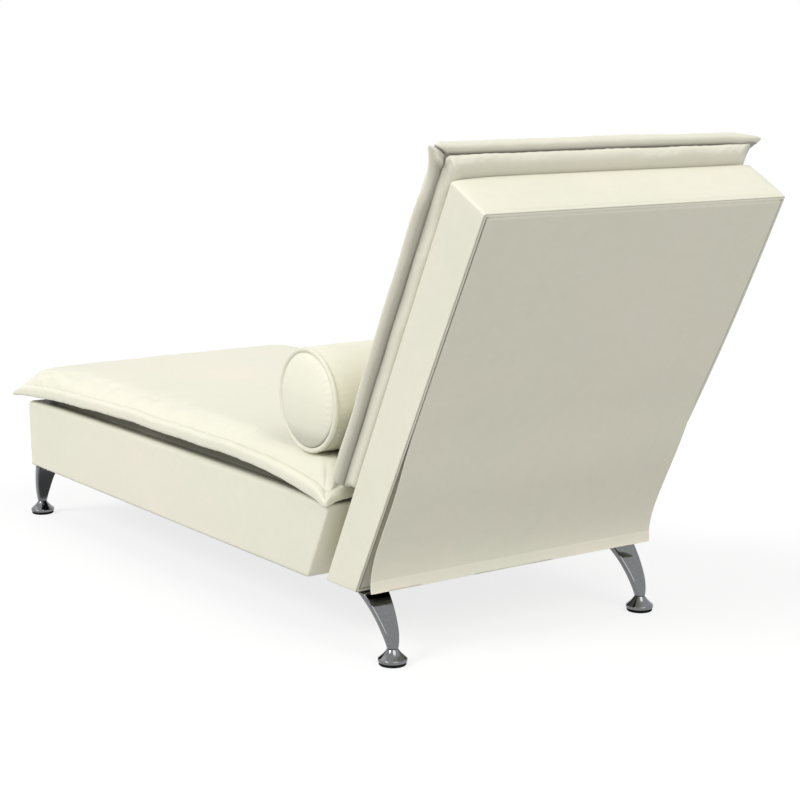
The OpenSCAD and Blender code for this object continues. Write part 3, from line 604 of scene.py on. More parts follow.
seatPad = {
    "crown": 0.008,
    "droopFoot": 0.0215,
    "droopHead": 0.029,
    "footArch": 0.500,
    "headArch": 0.330,
    "footReach": 0.039,
    "headReach": 0.012,
    "sideReach": 0.014,
    "earLow": 0.009,
    "earHigh": 0.008,
    "earFar": 0.008,
    "earSpread": 0.020,
    "fan": (0.0014, 0.030),
    "draft": (0.005, 0.018),
    "crease": 0.0026,
    "creaseShade": 0.30,
    "creases": (0.42, 1.02),
    "taperLow": 0.80,
    "taperHigh": 0.45,
    "taperFar": 0.45,
    "lowRow": 5,
    "draw": 0.004,
    "counts": (230, 130, 14),
    "coarse": (110, 62, 5),
    "gather": 0.72,
    # side, foot, head, height, droop share, corner radius, flange share, tone (painted shade in the recess
    # under the flange, and a darker seam line)
    "rows": [
        (-26, -26, -26, 0.0, 0.00, 22, 0.0, 0.55),
        (-23.5, -22, -23, 11, 0.35, 22, 0.1, 0.72),
        (-17, -10, -17, 21.5, 0.75, 20, 0.3, 0.88),
        (-4, 10, -5, 27.0, 0.95, 14, 0.6, 0.97),
        (6.5, 28, 4.5, 28.4, 1.0, 10, 0.85, 0.35),
        (10.8, 35.8, 8.8, 29.2, 1.0, 9, 1.0, 0.02),
        (13.6, 38.6, 11.6, 32.5, 1.0, 9, 1.0, 0.0),
        (14.1, 39.1, 12.1, 39.5, 1.0, 9, 1.0, 0.0),
        (13.2, 38.2, 11.2, 45.8, 1.0, 9, 1.0, 0.0),
        (9.8, 34.8, 7.8, 49.9, 1.0, 9, 0.9, 0.0),
        (4.0, 29.0, 2.0, 50.9, 0.98, 10, 0.75, 0.0),
        (1.7, 26.7, -0.3, 50.2, 0.96, 11, 0.65, 0.22),
        (0.4, 25.4, -1.6, 51.3, 0.94, 12, 0.6, 0.04),
        (-4.5, 14, -9, 57.2, 0.75, 15, 0.35, 0.0),
        (-11, -6, -21, 62.6, 0.42, 19, 0.1, 0.0),
        (-19, -30, -34, 65.6, 0.10, 22, 0.0, 0.0),
        (-24, -40, -42, 66.6, 0.02, 22, 0.0, 0.0),
        (-32, -50, -50, 67.0, 0.00, 22, 0.0, 0.0),
    ],
    "steps": [4, 4, 4, 3, 3, 3, 4, 4, 3, 3, 2, 2, 4, 5, 4, 3, 3],
    "pinRows": [0, 2, 4, 5, 9, 10.4, 11, 11.6, 13, 15, 17, 17.2, 18],
    "pins": [1, 0.9, 0.5, 0.75, 0.75, 0.9, 1, 0.9, 0.15, 0.1, 0.1, 0.1, 0.1],
    "pressure": 3.0,
    "cap": 0.005,
    "wave": (0.0009, 0.00035),
    "plateau": 0.0008,
}

# Where the bolster's side lies on the seat
bolsterFoot = couch["bolsterY"] - 1.3 * couch["bolsterR"]


def seatDroop(x, y):
    # Squares of straight ramps to the foot and the head, growing towards the sides
    headY = seatEnd(seatTop)
    foot = np.maximum(0, 1 - (y + seatPad["footReach"]) / seatPad["footArch"])
    head = np.maximum(0, 1 - (headY + seatPad["headReach"] - y) / seatPad["headArch"])
    side = np.minimum(1, np.abs(x) / (couch["seatW"] / 2 + seatPad["sideReach"]))
    droop = seatPad["droopFoot"] * foot**2 * side**2
    return droop + seatPad["droopHead"] * head**2 * (0.55 + 0.45 * side**6)


def seatFree(g):
    # The cloth is held flat where the bolster lies and at the foot, so it keeps to its box
    return ramp(bolsterFoot - 0.02 - g[..., 1], 0.08) * ramp(g[..., 2] - 0.012, 0.015)


def buildSeatPad():
    # The ring grid, then noise waves on its flange and top, and folds round the two head corners
    half, headY = couch["seatW"] / 2, seatEnd(seatTop)
    rings, tones, _, flange, params, low = buildPad("seatPad", seatPad, half, 0.0, headY, onSeat)
    x, y, z = np.moveaxis(rings, -1, 0)  # views: what moves them moves the rings
    broad, fine = seatPad["wave"]
    wave = softNoise(rings, 30.0, 3) * broad + softNoise(rings, 95.0, 4) * fine
    share = 0.1 + flange + 0.5 * tent(params - 13, 5)
    z += wave * share[:, None] * (z > seatTop + 0.004)
    flat = (params >= 17)[:, None] * ramp(bolsterFoot - midY - y, 0.05)
    z += seatPad["plateau"] * softNoise(rings, 13.0, 7) * flat
    # Small folds fan out from the two head corners, and the corners are drawn forwards
    ax, ay = half - np.abs(x), headY - midY - y
    away, angle = np.hypot(ax, ay), np.arctan2(ay + 0.012, ax + 0.014)
    upper = ramp(params - 6, 2)[:, None]
    folds = np.sin(11 * angle + 3 * np.sin(3 * angle))
    (high, highLen), (deep, deepLen) = seatPad["fan"], seatPad["draft"]
    z += high * fade(away, highLen) * folds * upper
    y -= deep * fade(away, deepLen) * flange[:, None]
    # Pressed creases run out of each head corner, with painted shade along them
    for turn in seatPad["creases"]:
        crease = bell(angle - turn, 0.07) * bell(away - 0.022, 0.016) * upper * (ax < 0.06)
        z -= seatPad["crease"] * crease
        tones += seatPad["creaseShade"] * crease
    obj = closedSkin("seatPadSkin", rings, onSeat(low), rings[-1].mean(axis=0))
    setTone(obj, tones)
    dress(obj, "cream_leather", "couch", ["seat_pad_cover", "seat_pad_foam"])


seatPad.update(droop=seatDroop, free=seatFree, crownSpan=(0.0, bolsterFoot))
buildSeatPad()
print("seat pad done")


# Back pad: the same make on the leaning back, with a rounder roll, a puffed band and folded top corners

backPad = {
    "low": 0.17652,
    "crown": 0.007,
    "earLow": 0.0,
    "earHigh": 0.003,
    "earFar": 0.004,
    "earSpread": 0.016,
    "taperLow": 0.0,
    "taperHigh": 0.15,
    "taperFar": 0.80,
    "lowRow": 6,
    "draw": -0.0005,
    "counts": (170, 130, 16),
    "coarse": (70, 58, 5),
    "gather": 0.80,
    # side, low, high, distance from the box, no droop, corner radius, flange share, side tone, top tone
    # (painted shade along the groove, the roll, the band and the box; paler, painted light, below zero)
    "rows": [
        (-9, 0, -4, 0.0, 0, 16, 0.0, 0.35, 0.50),
        (-3, 0, 9, 1.4, 0, 16, 0.0, 0.0, 0.20),
        (2, 0, 23, 5.5, 0, 14, 0.1, 0.0, 0.05),
        (4.5, 0, 30.5, 13.0, 0, 12, 0.2, 0.20, -0.04),
        (4.6, 0, 30.5, 20.0, 0, 9, 0.3, 0.60, 0.04),
        (1.2, 0, 28.4, 23.6, 0, 8, 0.3, 0.78, 1.0),
        (4.5, 0, 33.0, 25.3, 0, 8, 0.7, 0.38, 0.32),
        (12.0, 0, 38.8, 28.8, 0, 9, 1.0, 0.28, 0.04),
        (15.2, 0, 41.0, 34.5, 0, 9, 1.0, 0.22, 0.0),
        (15.0, 0, 40.8, 40.3, 0, 9, 1.0, 0.06, 0.0),
        (11.4, 0, 37.5, 45.4, 0, 10, 0.9, 0.0, 0.0),
        (6.0, 0, 31.5, 47.4, 0, 10, 0.7, 0.05, 0.05),
        (3.4, 0, 28.4, 46.6, 0, 12, 0.5, 0.4, 0.4),
        (1.8, 0, 27.0, 48.0, 0, 13, 0.4, 0.1, 0.1),
        (-8.5, -1, 17, 61.5, 0, 16, 0.2, 0.0, 0.0),
        (-17, -4, 5, 75.0, 0, 20, 0.0, 0.0, 0.0),
        (-27, -7, -7, 83.6, 0, 22, 0.0, 0.0, 0.0),
        (-34, -10, -12, 85.6, 0, 22, 0.0, 0.0, 0.0),
        (-42, -16, -19, 86.0, 0, 22, 0.0, 0.0, 0.0),
    ],
    "steps": [4, 4, 4, 4, 3, 3, 4, 4, 4, 4, 3, 2, 2, 4, 5, 4, 3, 3],
    "pinRows": [0, 0.6, 2, 4, 5, 6, 9, 11, 12, 13, 14, 18, 18.2, 19],
    "pins": [1, 0.9, 0.5, 0.9, 1, 0.97, 0.9, 0.95, 1, 0.9, 0.15, 0.1, 0.1, 0.1],
    "pressure": 3.0,
    "cap": 0.0022,
    "wave": (0.0009, 0.0004),
    "dents": 0.0011,
    "plateau": 0.0008,
    # Near top corner: the side roll's end over the top roll, a slit between them, a small lobe below
    "foldRise": 0.0076,
    "foldSink": 0.0002,
    "foldDip": 0.0050,
    "foldWide": 0.0010,
    "foldLen": 0.021,
    "foldRim": 0.009,
    "slitAt": -0.0012,
    "slitLean": 0.28,
    "slitShade": 0.95,
    "lobe": 0.0060,
    "lobeDown": (0.013, 0.011),
    "lobeOut": (0.0262, 0.0035),
    "lobeShade": 0.60,
    "bandShade": 0.40,
    "neck": 0.0050,
    "neckDown": (0.060, 0.024),
    # Far top corner: a thin tip, and the foot of the band drawn in
    "farTip": 0.019,
    "farDrop": 0.0070,
    "farFoot": 0.035,
    "farTipShade": 0.65,
    "lowDrop": 0.014,
}

# Where the bolster's side lies on the back
bolsterHead = backPad["low"] + 1.4 * couch["bolsterR"]


def backFree(g):
    # The cloth is held flat where the bolster lies and on the box
    return ramp(g[..., 1] - bolsterHead, 0.08) * ramp(g[..., 2] - 0.001, 0.008)


def foldCorners(rings, rows, half, y0, y1, tones):
    # dx, dy: distances in from the row's own side and top
    # c: less than zero on the side, more along the top
    k = len(rows)
    skinX, skinU, skinN = np.moveaxis(rings[:k], -1, 0)  # views: what moves them moves the rings
    x, u = skinX.copy(), skinU.copy()
    n = np.repeat(rows[:, 3][:, None] / 1000, x.shape[1], 1)
    dx = (half + rows[:, 0] / 1000)[:, None] - np.abs(x)
    dy = (y1 + rows[:, 2] / 1000)[:, None] - u
    inX, inY = np.maximum(dx, 0), np.maximum(dy, 0)
    near, far = x > 0, x < 0
    flange = ramp(rows[:, 6] - 0.25, 0.5)[:, None]
    weight = fade(np.minimum(dx, dy), backPad["foldRim"]) * (dy < 0.10) * (dx < 0.10) * flange * near
    c = dx - dy
    slit = backPad["slitAt"] - backPad["slitLean"] * (n - 0.024)
    one = np.ones(x.shape)
    out = np.stack([0.8 * one, 0 * one, 0.6 * np.clip((n - 0.030) / 0.010, -0.3, 1)], -1)
    topOut = np.stack([0.7 * one, 0.7 * one, np.clip((n - 0.036) / 0.010, -1, 1)], -1)
    onSide = 1 / (1 + np.exp(np.clip((c - slit) / 0.0004, -40, 40)))
    rise = backPad["foldRise"] * onSide * (1 - 0.22 * bell(inY, 0.0060)) * bell(inY, backPad["foldLen"])
    dip = bell(c - slit - 0.0008, backPad["foldWide"])
    sink = backPad["foldSink"] * (1 - onSide) * bell(inX, 0.016) + backPad["foldDip"] * dip
    rings[:k] += (out * rise[..., None] - topOut * sink[..., None]) * weight[..., None]
    # The lobe's lip hangs over the groove
    (down, tall), (lipAt, lipWide) = backPad["lobeDown"], backPad["lobeOut"]
    beside = tent(dy - down, tall) * near * (dx < 0.03)
    lobe = beside * bell(n - lipAt, lipWide)
    skinX += 0.35 * backPad["lobe"] * lobe
    skinN -= backPad["lobe"] * lobe
    # Narrower below the corners
    down, tall = backPad["neckDown"]
    neck = bell(dy - down, tall) * fade(dx, 0.010) * flange
    skinX -= np.sign(x) * backPad["neck"] * neck
    # The far corner's tip is drawn in and down, and the foot of its band inwards
    tip = np.exp(-np.hypot(dx, dy) / 0.012) * far * flange
    skinX -= backPad["farTip"] * tip
    skinU -= backPad["farDrop"] * fade(inX + inY, 0.022) * far * flange
    foot = np.clip((0.0196 - n) / 0.014, -0.25, 1.1) * fade(dy, 0.030) * fade(dx, 0.012)
    skinX += backPad["farFoot"] * foot * far * (n < 0.0235)
    # The roll's lower ends hang down behind the seat pad's flange
    low = fade(u - y0, 0.030) * fade(dx, 0.022) * ramp(n - 0.012, 0.010)
    skinU -= backPad["lowDrop"] * low * np.clip(1.4 - n / 0.045, 0, 1)
    # Painted shade: darker in the slit, under the lobe, down the band behind it and at the far tip, and less
    # of it on the lobe's lip
    tone = np.maximum(tones[:k], backPad["slitShade"] * dip * (weight > 0.25))
    tone *= 1 - 0.8 * lobe * (n > 0.0245)
    under = backPad["lobeShade"] * beside * bell(n - 0.0190, 0.0020)
    band = bell(np.maximum(dy - 0.010, 0), 0.045) * tent(n - 0.014, 0.012)
    band *= backPad["bandShade"] * near * (dx < dy)
    drawn = backPad["farTipShade"] * np.clip(1.8 * tip, 0, 1) * (n < 0.0265)
    tones[:k] = np.max([tone, under, band, drawn], axis=0)


def buildBackPad():
    # The ring grid, then noise waves on its flange and top, dents in its band, and the folded corners
    y0, y1, half = backPad["low"], couch["backLen"], couch["backW"] / 2
    rings, tones, rows, flange, params, low = buildPad("backPad", backPad, half, y0, y1, onBack)
    # Back to the leaning frame for the folds
    x, y, z = np.moveaxis(rings - onBack([0, 0, 0]), -1, 0)
    rings = np.stack([x, y * sinL + z * cosL, z * sinL - y * cosL], -1)
    x, u, n = np.moveaxis(rings, -1, 0)
    near = ramp(u - y0, 0.05) * ramp(n, 0.006)
    broad, fine = backPad["wave"]
    wave = softNoise(rings, 34.0, 13) * broad + softNoise(rings, 105.0, 14) * fine
    n += wave * (0.15 + flange)[:, None] * near
    dents = softNoise(rings * np.array([1.0, 1.0, 0.4]), 55.0, 15) * near
    dents *= backPad["dents"] * tent(params - 2.8, 2)[:, None]
    x += dents * np.sign(x) * (np.abs(x) > half - 0.004)
    u += dents * (u > y1)
    plateau = (params >= 18)[:, None] * ramp(u - bolsterHead, 0.05)
    n += backPad["plateau"] * softNoise(rings, 13.0, 17) * plateau
    foldCorners(rings, rows, half, y0, y1, tones)
    # Just clear of the box
    lift = np.array([0, 0, 0.0001])
    rings = onBack(rings + lift)
    obj = closedSkin("backPadSkin", rings, onBack(low + lift), rings[-1].mean(axis=0))
    setTone(obj, tones)
    dress(obj, "cream_leather", "couch", ["back_pad_cover", "back_pad_foam"])


backPad.update(droop=lambda x, y: 0.0, free=backFree, crownSpan=(bolsterHead, couch["backLen"]))
buildBackPad()
print("back pad done")


# Upholstered boxes: thin closed shells with softly rounded edges

boxes = {
    "seatEdge": 0.008,
    "footCorner": 0.005,
    "headCorner": 0.004,
    "seatSwell": 0.0045,
    "swellW": 0.014,
    "bulge": 0.0008,
    "backEdge": 0.0016,
    "lip": 0.006,
    "sheet": 0.002,
    "turnIn": 0.036,
    "topSwell": 0.0070,
    "footSwell": 0.0050,
    "farBow": 0.007,
    "topPale": 0.22,
    "headPale": 0.9,
    "rimShade": 0.22,
    # the seat box's turned-in lower edge: offset outwards, height over the underside, tone (painted shade
    # where it turns under)
    "seatFoot": [(-0.003, 0.0004, 0), (-0.0022, 0.0002, 0.7), (-0.0008, 0.0003, 0.6), (0.0, 0.0015, 0.15)],
    # its top under the pad: offset outwards, tone (painted shade under the pad's flange)
    "seatDeck": [(-0.015, 0.25), (-0.021, 0.50), (-0.03, 0.76), (-0.10, 0.80)],
    # the back box's rear edge over its rib and groove: offset outwards, depth towards the front, tone (a
    # dark seam line, and painted shade in the groove)
    "backRib": [
        (0.0005, 0.0045, 0), (0.0006, 0.0028, 0), (0.0002, 0.0014, 0), (-0.0006, 0.0008, 0.10),
        (-0.0011, 0.0011, 0.85), (-0.0016, 0.0006, 0.15), (-0.0024, 0.0001, 0.0), (-0.0034, 0.0, 0.0),
        (-0.0043, 0.0003, 0.10), (-0.0050, 0.0010, 0.50), (-0.0058, 0.0014, 0.80), (-0.0080, 0.0014, 0.30),
    ],
}


def buildSeatBox():
    # Rounded rectangles stacked from the inside round the lower edge, up the wall and over the top
    half, r, skin = couch["seatW"] / 2, boxes["seatEdge"], couch["skin"]
    low, top = legH + 0.0015, seatTop - 0.0001
    turn = np.linspace(0, math.pi / 2, 9)
    # rows: offset outwards, height, tone (painted shade)
    rows = [(-0.10, seatTop - skin, 0), (-skin, seatTop - skin, 0)]
    rows += [(offset, legH + up, tone) for offset, up, tone in boxes["seatFoot"]]
    rows += [
        (boxes["bulge"] * math.sin(math.pi * s), low + (seatTop - r - low) * s, 0)
        for s in np.linspace(0.03, 1.0, 26)
    ]
    # Round the top edge, painted shade growing towards the top, under the pad's flange
    rows += [
        (-r + r * math.cos(a), seatTop - r + r * math.sin(a), boxes["rimShade"] * (a / turn[-1]) ** 2)
        for a in turn[1:]
    ]
    rows += [(offset, top, tone) for offset, tone in boxes["seatDeck"]]
    rings, tones = [], []
    for offset, z, tone in rows:
        corners = tuple(max(0.003, boxes[key] + offset) for key in ("footCorner", "headCorner"))
        bulge = boxes["footSwell"] * (0.35 + 0.65 * ramp(z - legH, seatTop - legH))
        end = seatEnd(z) + offset
        line = roundedOutline(half + offset, -offset - bulge, end, corners, 0.0, (150, 80, 10))
        rings.append(atHeight(line, z))
        # Painted light: the leaning head face is made paler than the sides
        tones.append(tone - boxes["headPale"] * (line[:, 1] > end - 0.003))
    rings = np.array(rings)
    x, y, z = np.moveaxis(rings, -1, 0)
    wave = 0.0005 * softNoise(rings, 14.0, 21)
    wave[:6] = 0
    x += wave * np.sign(x) * (np.abs(x) > half - 0.002)
    # The padded top edge swells a little between the corners
    along = np.clip(y / seatEnd(seatTop), 0, 1)
    rise = np.sqrt(np.sin(math.pi * along)) * ramp(z - seatTop + 0.04, 0.04)
    rise[:6] = 0
    z += boxes["seatSwell"] * rise * ramp(np.abs(x) - half + 0.024, boxes["swellW"])
    y -= midY
    mid = couch["seatLen"] / 2 - midY
    obj = closedSkin("seatBoxSkin", rings, [0, mid, seatTop - skin], [0, mid, top])
    setTone(obj, tones)
    dress(obj, "cream_leather", "couch", ["seat_cover"])


def farBow(x, u):
    # The far side of the back's cover is fuller at mid-height: a half sine over its upper 70 %
    rise = np.sin(math.pi * ramp(u / couch["backLen"] - 0.3, 0.7))
    return -boxes["farBow"] * rise * ramp(-x / (couch["backW"] / 2) - 0.7, 0.3)


def rearDepth(u):
    # The back box is deeper the higher up: a straight slope from its lowest depth
    return -couch["backLow"] - (u - rearLowU) * math.tan(rearTurn)


def buildBackBox():
    # Rounded rectangles from the front face down the walls, over the rear rib and groove and back inside
    half, length, skin = couch["backW"] / 2, couch["backLen"], couch["skin"]
    r, sheet, inner = boxes["backEdge"], boxes["sheet"], boxes["turnIn"]
    # rows: offset outwards, share of the depth, extra depth towards the front, tone (painted shade and a
    # seam line)
    rows = [(-0.12, 0, 0, 0), (-0.02, 0, 0, 0)]
    rows += [(-r + r * math.sin(a), 0, -r + r * math.cos(a), 0) for a in np.linspace(0.15, math.pi / 2, 6)]
    rows += [(0.0005 * math.sin(math.pi * s), s, 0, 0) for s in np.linspace(0.06, 0.93, 18)]
    rows += [(offset, 1, extra, tone) for offset, extra, tone in boxes["backRib"]]
    rows += [(-inner + 0.001, 1, 0.0014, 0), (-inner, 1, 0.0016, 0), (-inner + 0.001, 1, 0.0019, 0)]
    rows += [(-skin, 1, sheet + 0.0001, 0), (-skin, 0.5, 0, 0), (-skin, 0, -skin, 0), (-0.12, 0, -skin, 0)]
    rings, tones = [], []
    for offset, share, extra, tone in rows:
        corner = max(0.0012, 0.003 + offset)
        line = roundedOutline(half + offset, -offset, length + offset, corner, 0.0, (110, 100, 6))
        x, u = line[:, 0], line[:, 1]
        # Along the top the panel starts right at the rib, so its groove is filled
        top = ramp(u - length + 0.012, 0.004) * ramp(half - 0.006 - np.abs(x), 0.002)
        deep = extra * (1 - top) + min(extra, 0.0002) * top if -0.0062 < offset < -0.0025 else extra
        n = np.minimum(share * rearDepth(u) + deep, 0)
        # Painted light: the leather over the top is made a little paler
        onTop = boxes["topPale"] * (u > length - 0.0045) * (np.abs(x) < half - 0.001) * (share > 0.01)
        u = u - n * tanL * (1 - u / length)
        n = share * rearDepth(u) + deep
        # The top swells a little, most towards its front edge
        crown = np.maximum(0, 1 - np.abs(x / half) ** np.where(x > 0, 6, 60))
        crest = np.sqrt(np.clip(1 + n / 0.085, 0, 1) * crown) * (offset > -0.0045 and share < 1)
        u = u + boxes["topSwell"] * crest * ramp(u - length + 0.004, 0.003)
        rings.append(np.stack([x + farBow(x, u), u, n], -1))
        # Painted light: along the top the rib is made paler
        topTone = tone if offset >= -0.002 else -0.4 if offset > -0.0045 else 0.0
        tones.append(tone * (1 - top) + topTone * top - onTop * (offset >= -0.0012))
    # The rows run from the front to the rear, so they are walked the other way round
    rings = np.array(rings)[:, ::-1]
    rings[..., 2] = np.minimum(rings[..., 2], -0.00005)
    mid = length / 2
    obj = closedSkin("backBoxSkin", onBack(rings), onBack([0, mid, -0.00005]), onBack([0, mid, -skin]))
    setTone(obj, np.array(tones)[:, ::-1])
    dress(obj, "cream_leather", "couch", ["back_cover"])


buildSeatBox()
buildBackBox()
print("boxes done")


# Rear sheet: sewn panel and loose flap in one cut of cloth

rearSheet = {
    "foldH": 0.148,
    "peelLen": 0.150,
    "peel": 0.008,
    "flapSteps": 60,
    "hemClear": 0.004,
    "hemSlope": -9.0,
    "hemH": 0.020,
    "hemPale": 0.55,
    "flapPale": 0.50,
    "stitchTone": 0.35,
    "power": 3.6,
    "spread": 0.0022,
    "thick": 0.0013,
    "hemThick": 0.0006,
    "wave": 0.0012,
    "curl": 0.0016,
    "curlW": 0.03,
    "fit": 0.0004,
    "columns": 120,
}


def rearPoint(s, e):
    # From the rear face's frame (s up it from the fold, e out of it) to y and z
    sinT, cosT, foldH = math.sin(rearTilt), math.cos(rearTilt), rearSheet["foldH"]
    y = rearLowY + foldH * math.tan(rearTilt) + s * sinT + e * cosT
    return np.stack([y, legH + foldH + s * cosT - e * sinT], -1)


def sheetLine():
    # Side view of the sheet's middle, from the hem up
    # The flap's slope goes from the rear face's tilt to the hem's by a power of the way down
    # Above the fold the sheet comes back to the face along a half cosine
    steps, peelLen = rearSheet["flapSteps"], rearSheet["peelLen"]
    mids = (np.arange(steps) + 0.5) / steps
    slope = rearTilt + (math.radians(rearSheet["hemSlope"]) - rearTilt) * mids ** rearSheet["power"]
    fold = rearPoint(np.array([0.0]), np.array([rearSheet["peel"]]))[0]
    drop = fold[1] - legH - rearSheet["hemClear"]
    step = drop / np.cos(slope).sum()
    flap = fold - step * np.cumsum(np.stack([np.sin(slope), np.cos(slope)], -1), 0)
    topU = couch["backLen"] - boxes["lip"] - rearSheet["fit"] - rearLowU
    topS = topU / math.cos(rearTurn) - rearSheet["foldH"] / math.cos(rearTilt)
    s = np.concatenate([np.linspace(0, peelLen, 50)[1:], np.linspace(peelLen, topS, 70)[1:]])
    flush = -rearSheet["thick"] / 2
    off = flush + (rearSheet["peel"] - flush) * (1 + np.cos(math.pi * np.minimum(1, s / peelLen))) / 2
    return np.concatenate([flap[::-1], fold[None, :], rearPoint(s, off)]), step * steps


def buildRearSheet():
    # The side view's line carried across the width, with two faces a thickness apart
    line, flapLen = sheetLine()
    half = couch["backW"] / 2 - boxes["lip"] - rearSheet["fit"]
    way = np.gradient(line, axis=0)
    way /= np.linalg.norm(way, axis=1)[:, None]
    out = np.stack([way[:, 1], -way[:, 0]], -1)
    along = np.concatenate([[0], np.cumsum(np.linalg.norm(np.diff(line, axis=0), axis=1))])
    m = rearSheet["columns"]
    quarter = math.pi / 2 * 0.98
    x = half * np.sin(np.linspace(-1, 1, m) * quarter) / math.sin(quarter)
    free = np.clip(1 - along / (flapLen + rearSheet["peelLen"]), 0, 1) ** 1.5
    flat = [np.tile(x, (len(line), 1)), np.tile(along[:, None], (1, m)), np.zeros((len(line), m))]
    wave = rearSheet["wave"] * softNoise(np.stack(flat, -1), 9.0, 31)
    edge = ramp(np.abs(x) - half + rearSheet["curlW"], rearSheet["curlW"]) ** 2
    wave = wave * free[:, None] + rearSheet["curl"] * edge[None, :] * free[:, None]
    outer = rearSheet["thick"] / 2 + rearSheet["hemThick"] * ramp(rearSheet["hemH"] - along, 0.0008)
    inner = -rearSheet["thick"] / 2
    rings = []
    for j, point in enumerate(line):
        upSlope = (point[0] - backY) * sinL + (point[1] - legH) * cosL
        wide = x * (1 + rearSheet["spread"] / half * free[j]) + farBow(x, upSlope)
        front, back = (point + out[j] * (wave[j] + off)[:, None] for off in (outer[j], inner))
        rings.append(np.concatenate([np.column_stack([wide, front]), np.column_stack([wide, back])[::-1]]))
    rings = np.array(rings)[:, ::-1] + np.array([0, -midY, 0])
    line[:, 0] -= midY
    obj = closedSkin("rearSheet", rings, [0, *line[0]], [0, *line[-1]])
    # A darker stitch line above the hem; painted light: the hem and the flap's lower part are made paler
    tone = rearSheet["stitchTone"] * bell(along - rearSheet["hemH"] - 0.0004, 0.0006)
    tone -= rearSheet["hemPale"] * ramp(rearSheet["hemH"] - along, 0.001)
    tone -= rearSheet["flapPale"] * tent(along, 0.15)
    setTone(obj, np.repeat(tone[:, None], rings.shape[1], 1))
    obj.data.materials.append(mats["rear"])
    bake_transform(obj)
    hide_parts("rear_panel", "rear_flap")
    print("rear sheet flat size", 2 * half, float(along[-1]))


buildRearSheet()
print("rear sheet done")


# Bolster: skin drawn in at its piped ends, domed end discs

bolster = {
    "y": couch["bolsterY"] - midY,
    "z": 0.3875,
    "r": couch["bolsterR"],
    "len": 0.570,
    "shift": 0.004,
    "piping": 0.0042,
    "dome": 0.012,
    # pale: painted light on the upper side; shade: painted shade towards the back and the bottom
    "pale": 0.75,
    "shade": 0.34,
    "pull": 0.0016,
    "pullWide": 0.012,
    "pucker": 0.0005,
    "puckers": 46,
    "pleat": 0.00025,
    "pleats": 40,
}


def onAxis(x):
    # A point on the bolster's axis
    return [bolster["shift"] + x, bolster["y"], bolster["z"]]


def aroundX(x, radius, angle):
    # Points at a radius round the bolster's axis
    y, z = bolster["y"] + radius * np.cos(angle), bolster["z"] + radius * np.sin(angle)
    return np.stack([x + bolster["shift"], y, z], -1)


def buildCover(at):
    # A cylinder drawn in towards its ends by an exponential, where fine puckers run round it as a cosine
    angle = np.arange(200) / 200 * 2 * math.pi
    end = at - bolster["piping"] * 0.72
    x = end * np.sin(np.linspace(-1, 1, 90) * math.pi / 2)[:, None]
    near = np.exp(-(end - np.abs(x)) / bolster["pullWide"])
    fold = bolster["pucker"] * np.cos(bolster["puckers"] * angle + 2.0 * np.sin(3 * angle))
    radius = bolster["r"] + near * (fold - bolster["pull"]) - 0.0001
    rings = aroundX(np.broadcast_to(x, radius.shape), radius, angle)
    out = rings - np.array([0, bolster["y"], bolster["z"]])
    out[..., 0] = 0
    out /= np.linalg.norm(out, axis=-1, keepdims=True)
    # No swelling where it lies on the pads
    swell = 0.0005 * softNoise(rings, 12.0, 41) * np.clip(out[..., 2] + 0.4, 0, 1)
    rings += out * (swell * np.clip(0.5 - out[..., 1] * cosL + out[..., 2] * sinL, 0, 1))[..., None]
    skin = closedSkin("bolsterSkin", rings, onAxis(-end), onAxis(end))
    # Painted shade on the side towards the back pad, painted light over the top
    behind = ramp(out[..., 1] * cosL - out[..., 2] * sinL - 0.6, 0.4)
    setTone(skin, bolster["shade"] * behind - bolster["pale"] * np.clip(out[..., 2] + 0.3, 0, 1))
    dress(skin, "cream_leather", "bolster", ["bolster_cover", "bolster_core"])


def buildEnd(name, side, at):
    # A round piping, and a disc from its inner face round its seam to a dome that rises by a power
    r, p = bolster["r"], bolster["piping"]
    turn = np.arange(20) / 20 * 2 * math.pi
    around = np.arange(240) / 240 * 2 * math.pi
    thick = p * (1 + 0.03 * np.sin(23 * around))[:, None]
    tube = aroundX(side * at + thick * np.sin(turn), r - p + thick * np.cos(turn), around[:, None])
    piping = tubeSkin("bolsterPiping" + name, tube)
    dress(piping, "cream_leather", "bolster", ["bolster_piping_" + name.lower()])
    edge = r - 2 * p
    base = at + 0.1 * p
    inner, seam = base - 0.003, base + 0.0008
    # rows: radius, distance along the axis, tone (darker down into the seam and at the disc's rim)
    rows = [(edge * 0.5, inner, 0), (edge + 0.001, inner, 0.2), (edge + 0.0012, base, 0.9)]
    for s in np.linspace(1, 0.04, 34):
        tone = 0.8 if s > 0.985 else 0.15 if s > 0.95 else 0
        rows.append((edge * s + 0.0006 * (s > 0.97), seam + bolster["dome"] * (1 - s**2) ** 0.6, tone))
    radius, x, tone = np.array(rows).T[:, :, None]
    pleat = bolster["pleat"] * np.cos(bolster["pleats"] * around) * (radius > edge * 0.85) * (radius < edge)
    disc = aroundX(side * (x + pleat), np.broadcast_to(radius, pleat.shape), around)
    if side < 0:
        disc = disc[:, ::-1]
    level = (disc[..., 2] - bolster["z"]) / r
    # Painted light over the upper part, painted shade towards the bottom
    tone = tone - bolster["pale"] * np.clip(0.65 + level, -0.08, 1)
    tone += 1.3 * bolster["shade"] * np.clip(-0.25 - level, 0, 0.5)
    tip = side * (seam + bolster["dome"])
    face = closedSkin("bolsterEnd" + name, disc, onAxis(side * inner), onAxis(tip))
    setTone(face, tone)
    dress(face, "cream_leather", "bolster", ["bolster_end_" + name.lower()])


pipeAt = bolster["len"] / 2 - bolster["piping"]
buildCover(pipeAt)
buildEnd("Left", 1, pipeAt)
buildEnd("Right", -1, pipeAt)
print("bolster done")


# Legs: bent horns with softened edges on rounded plates

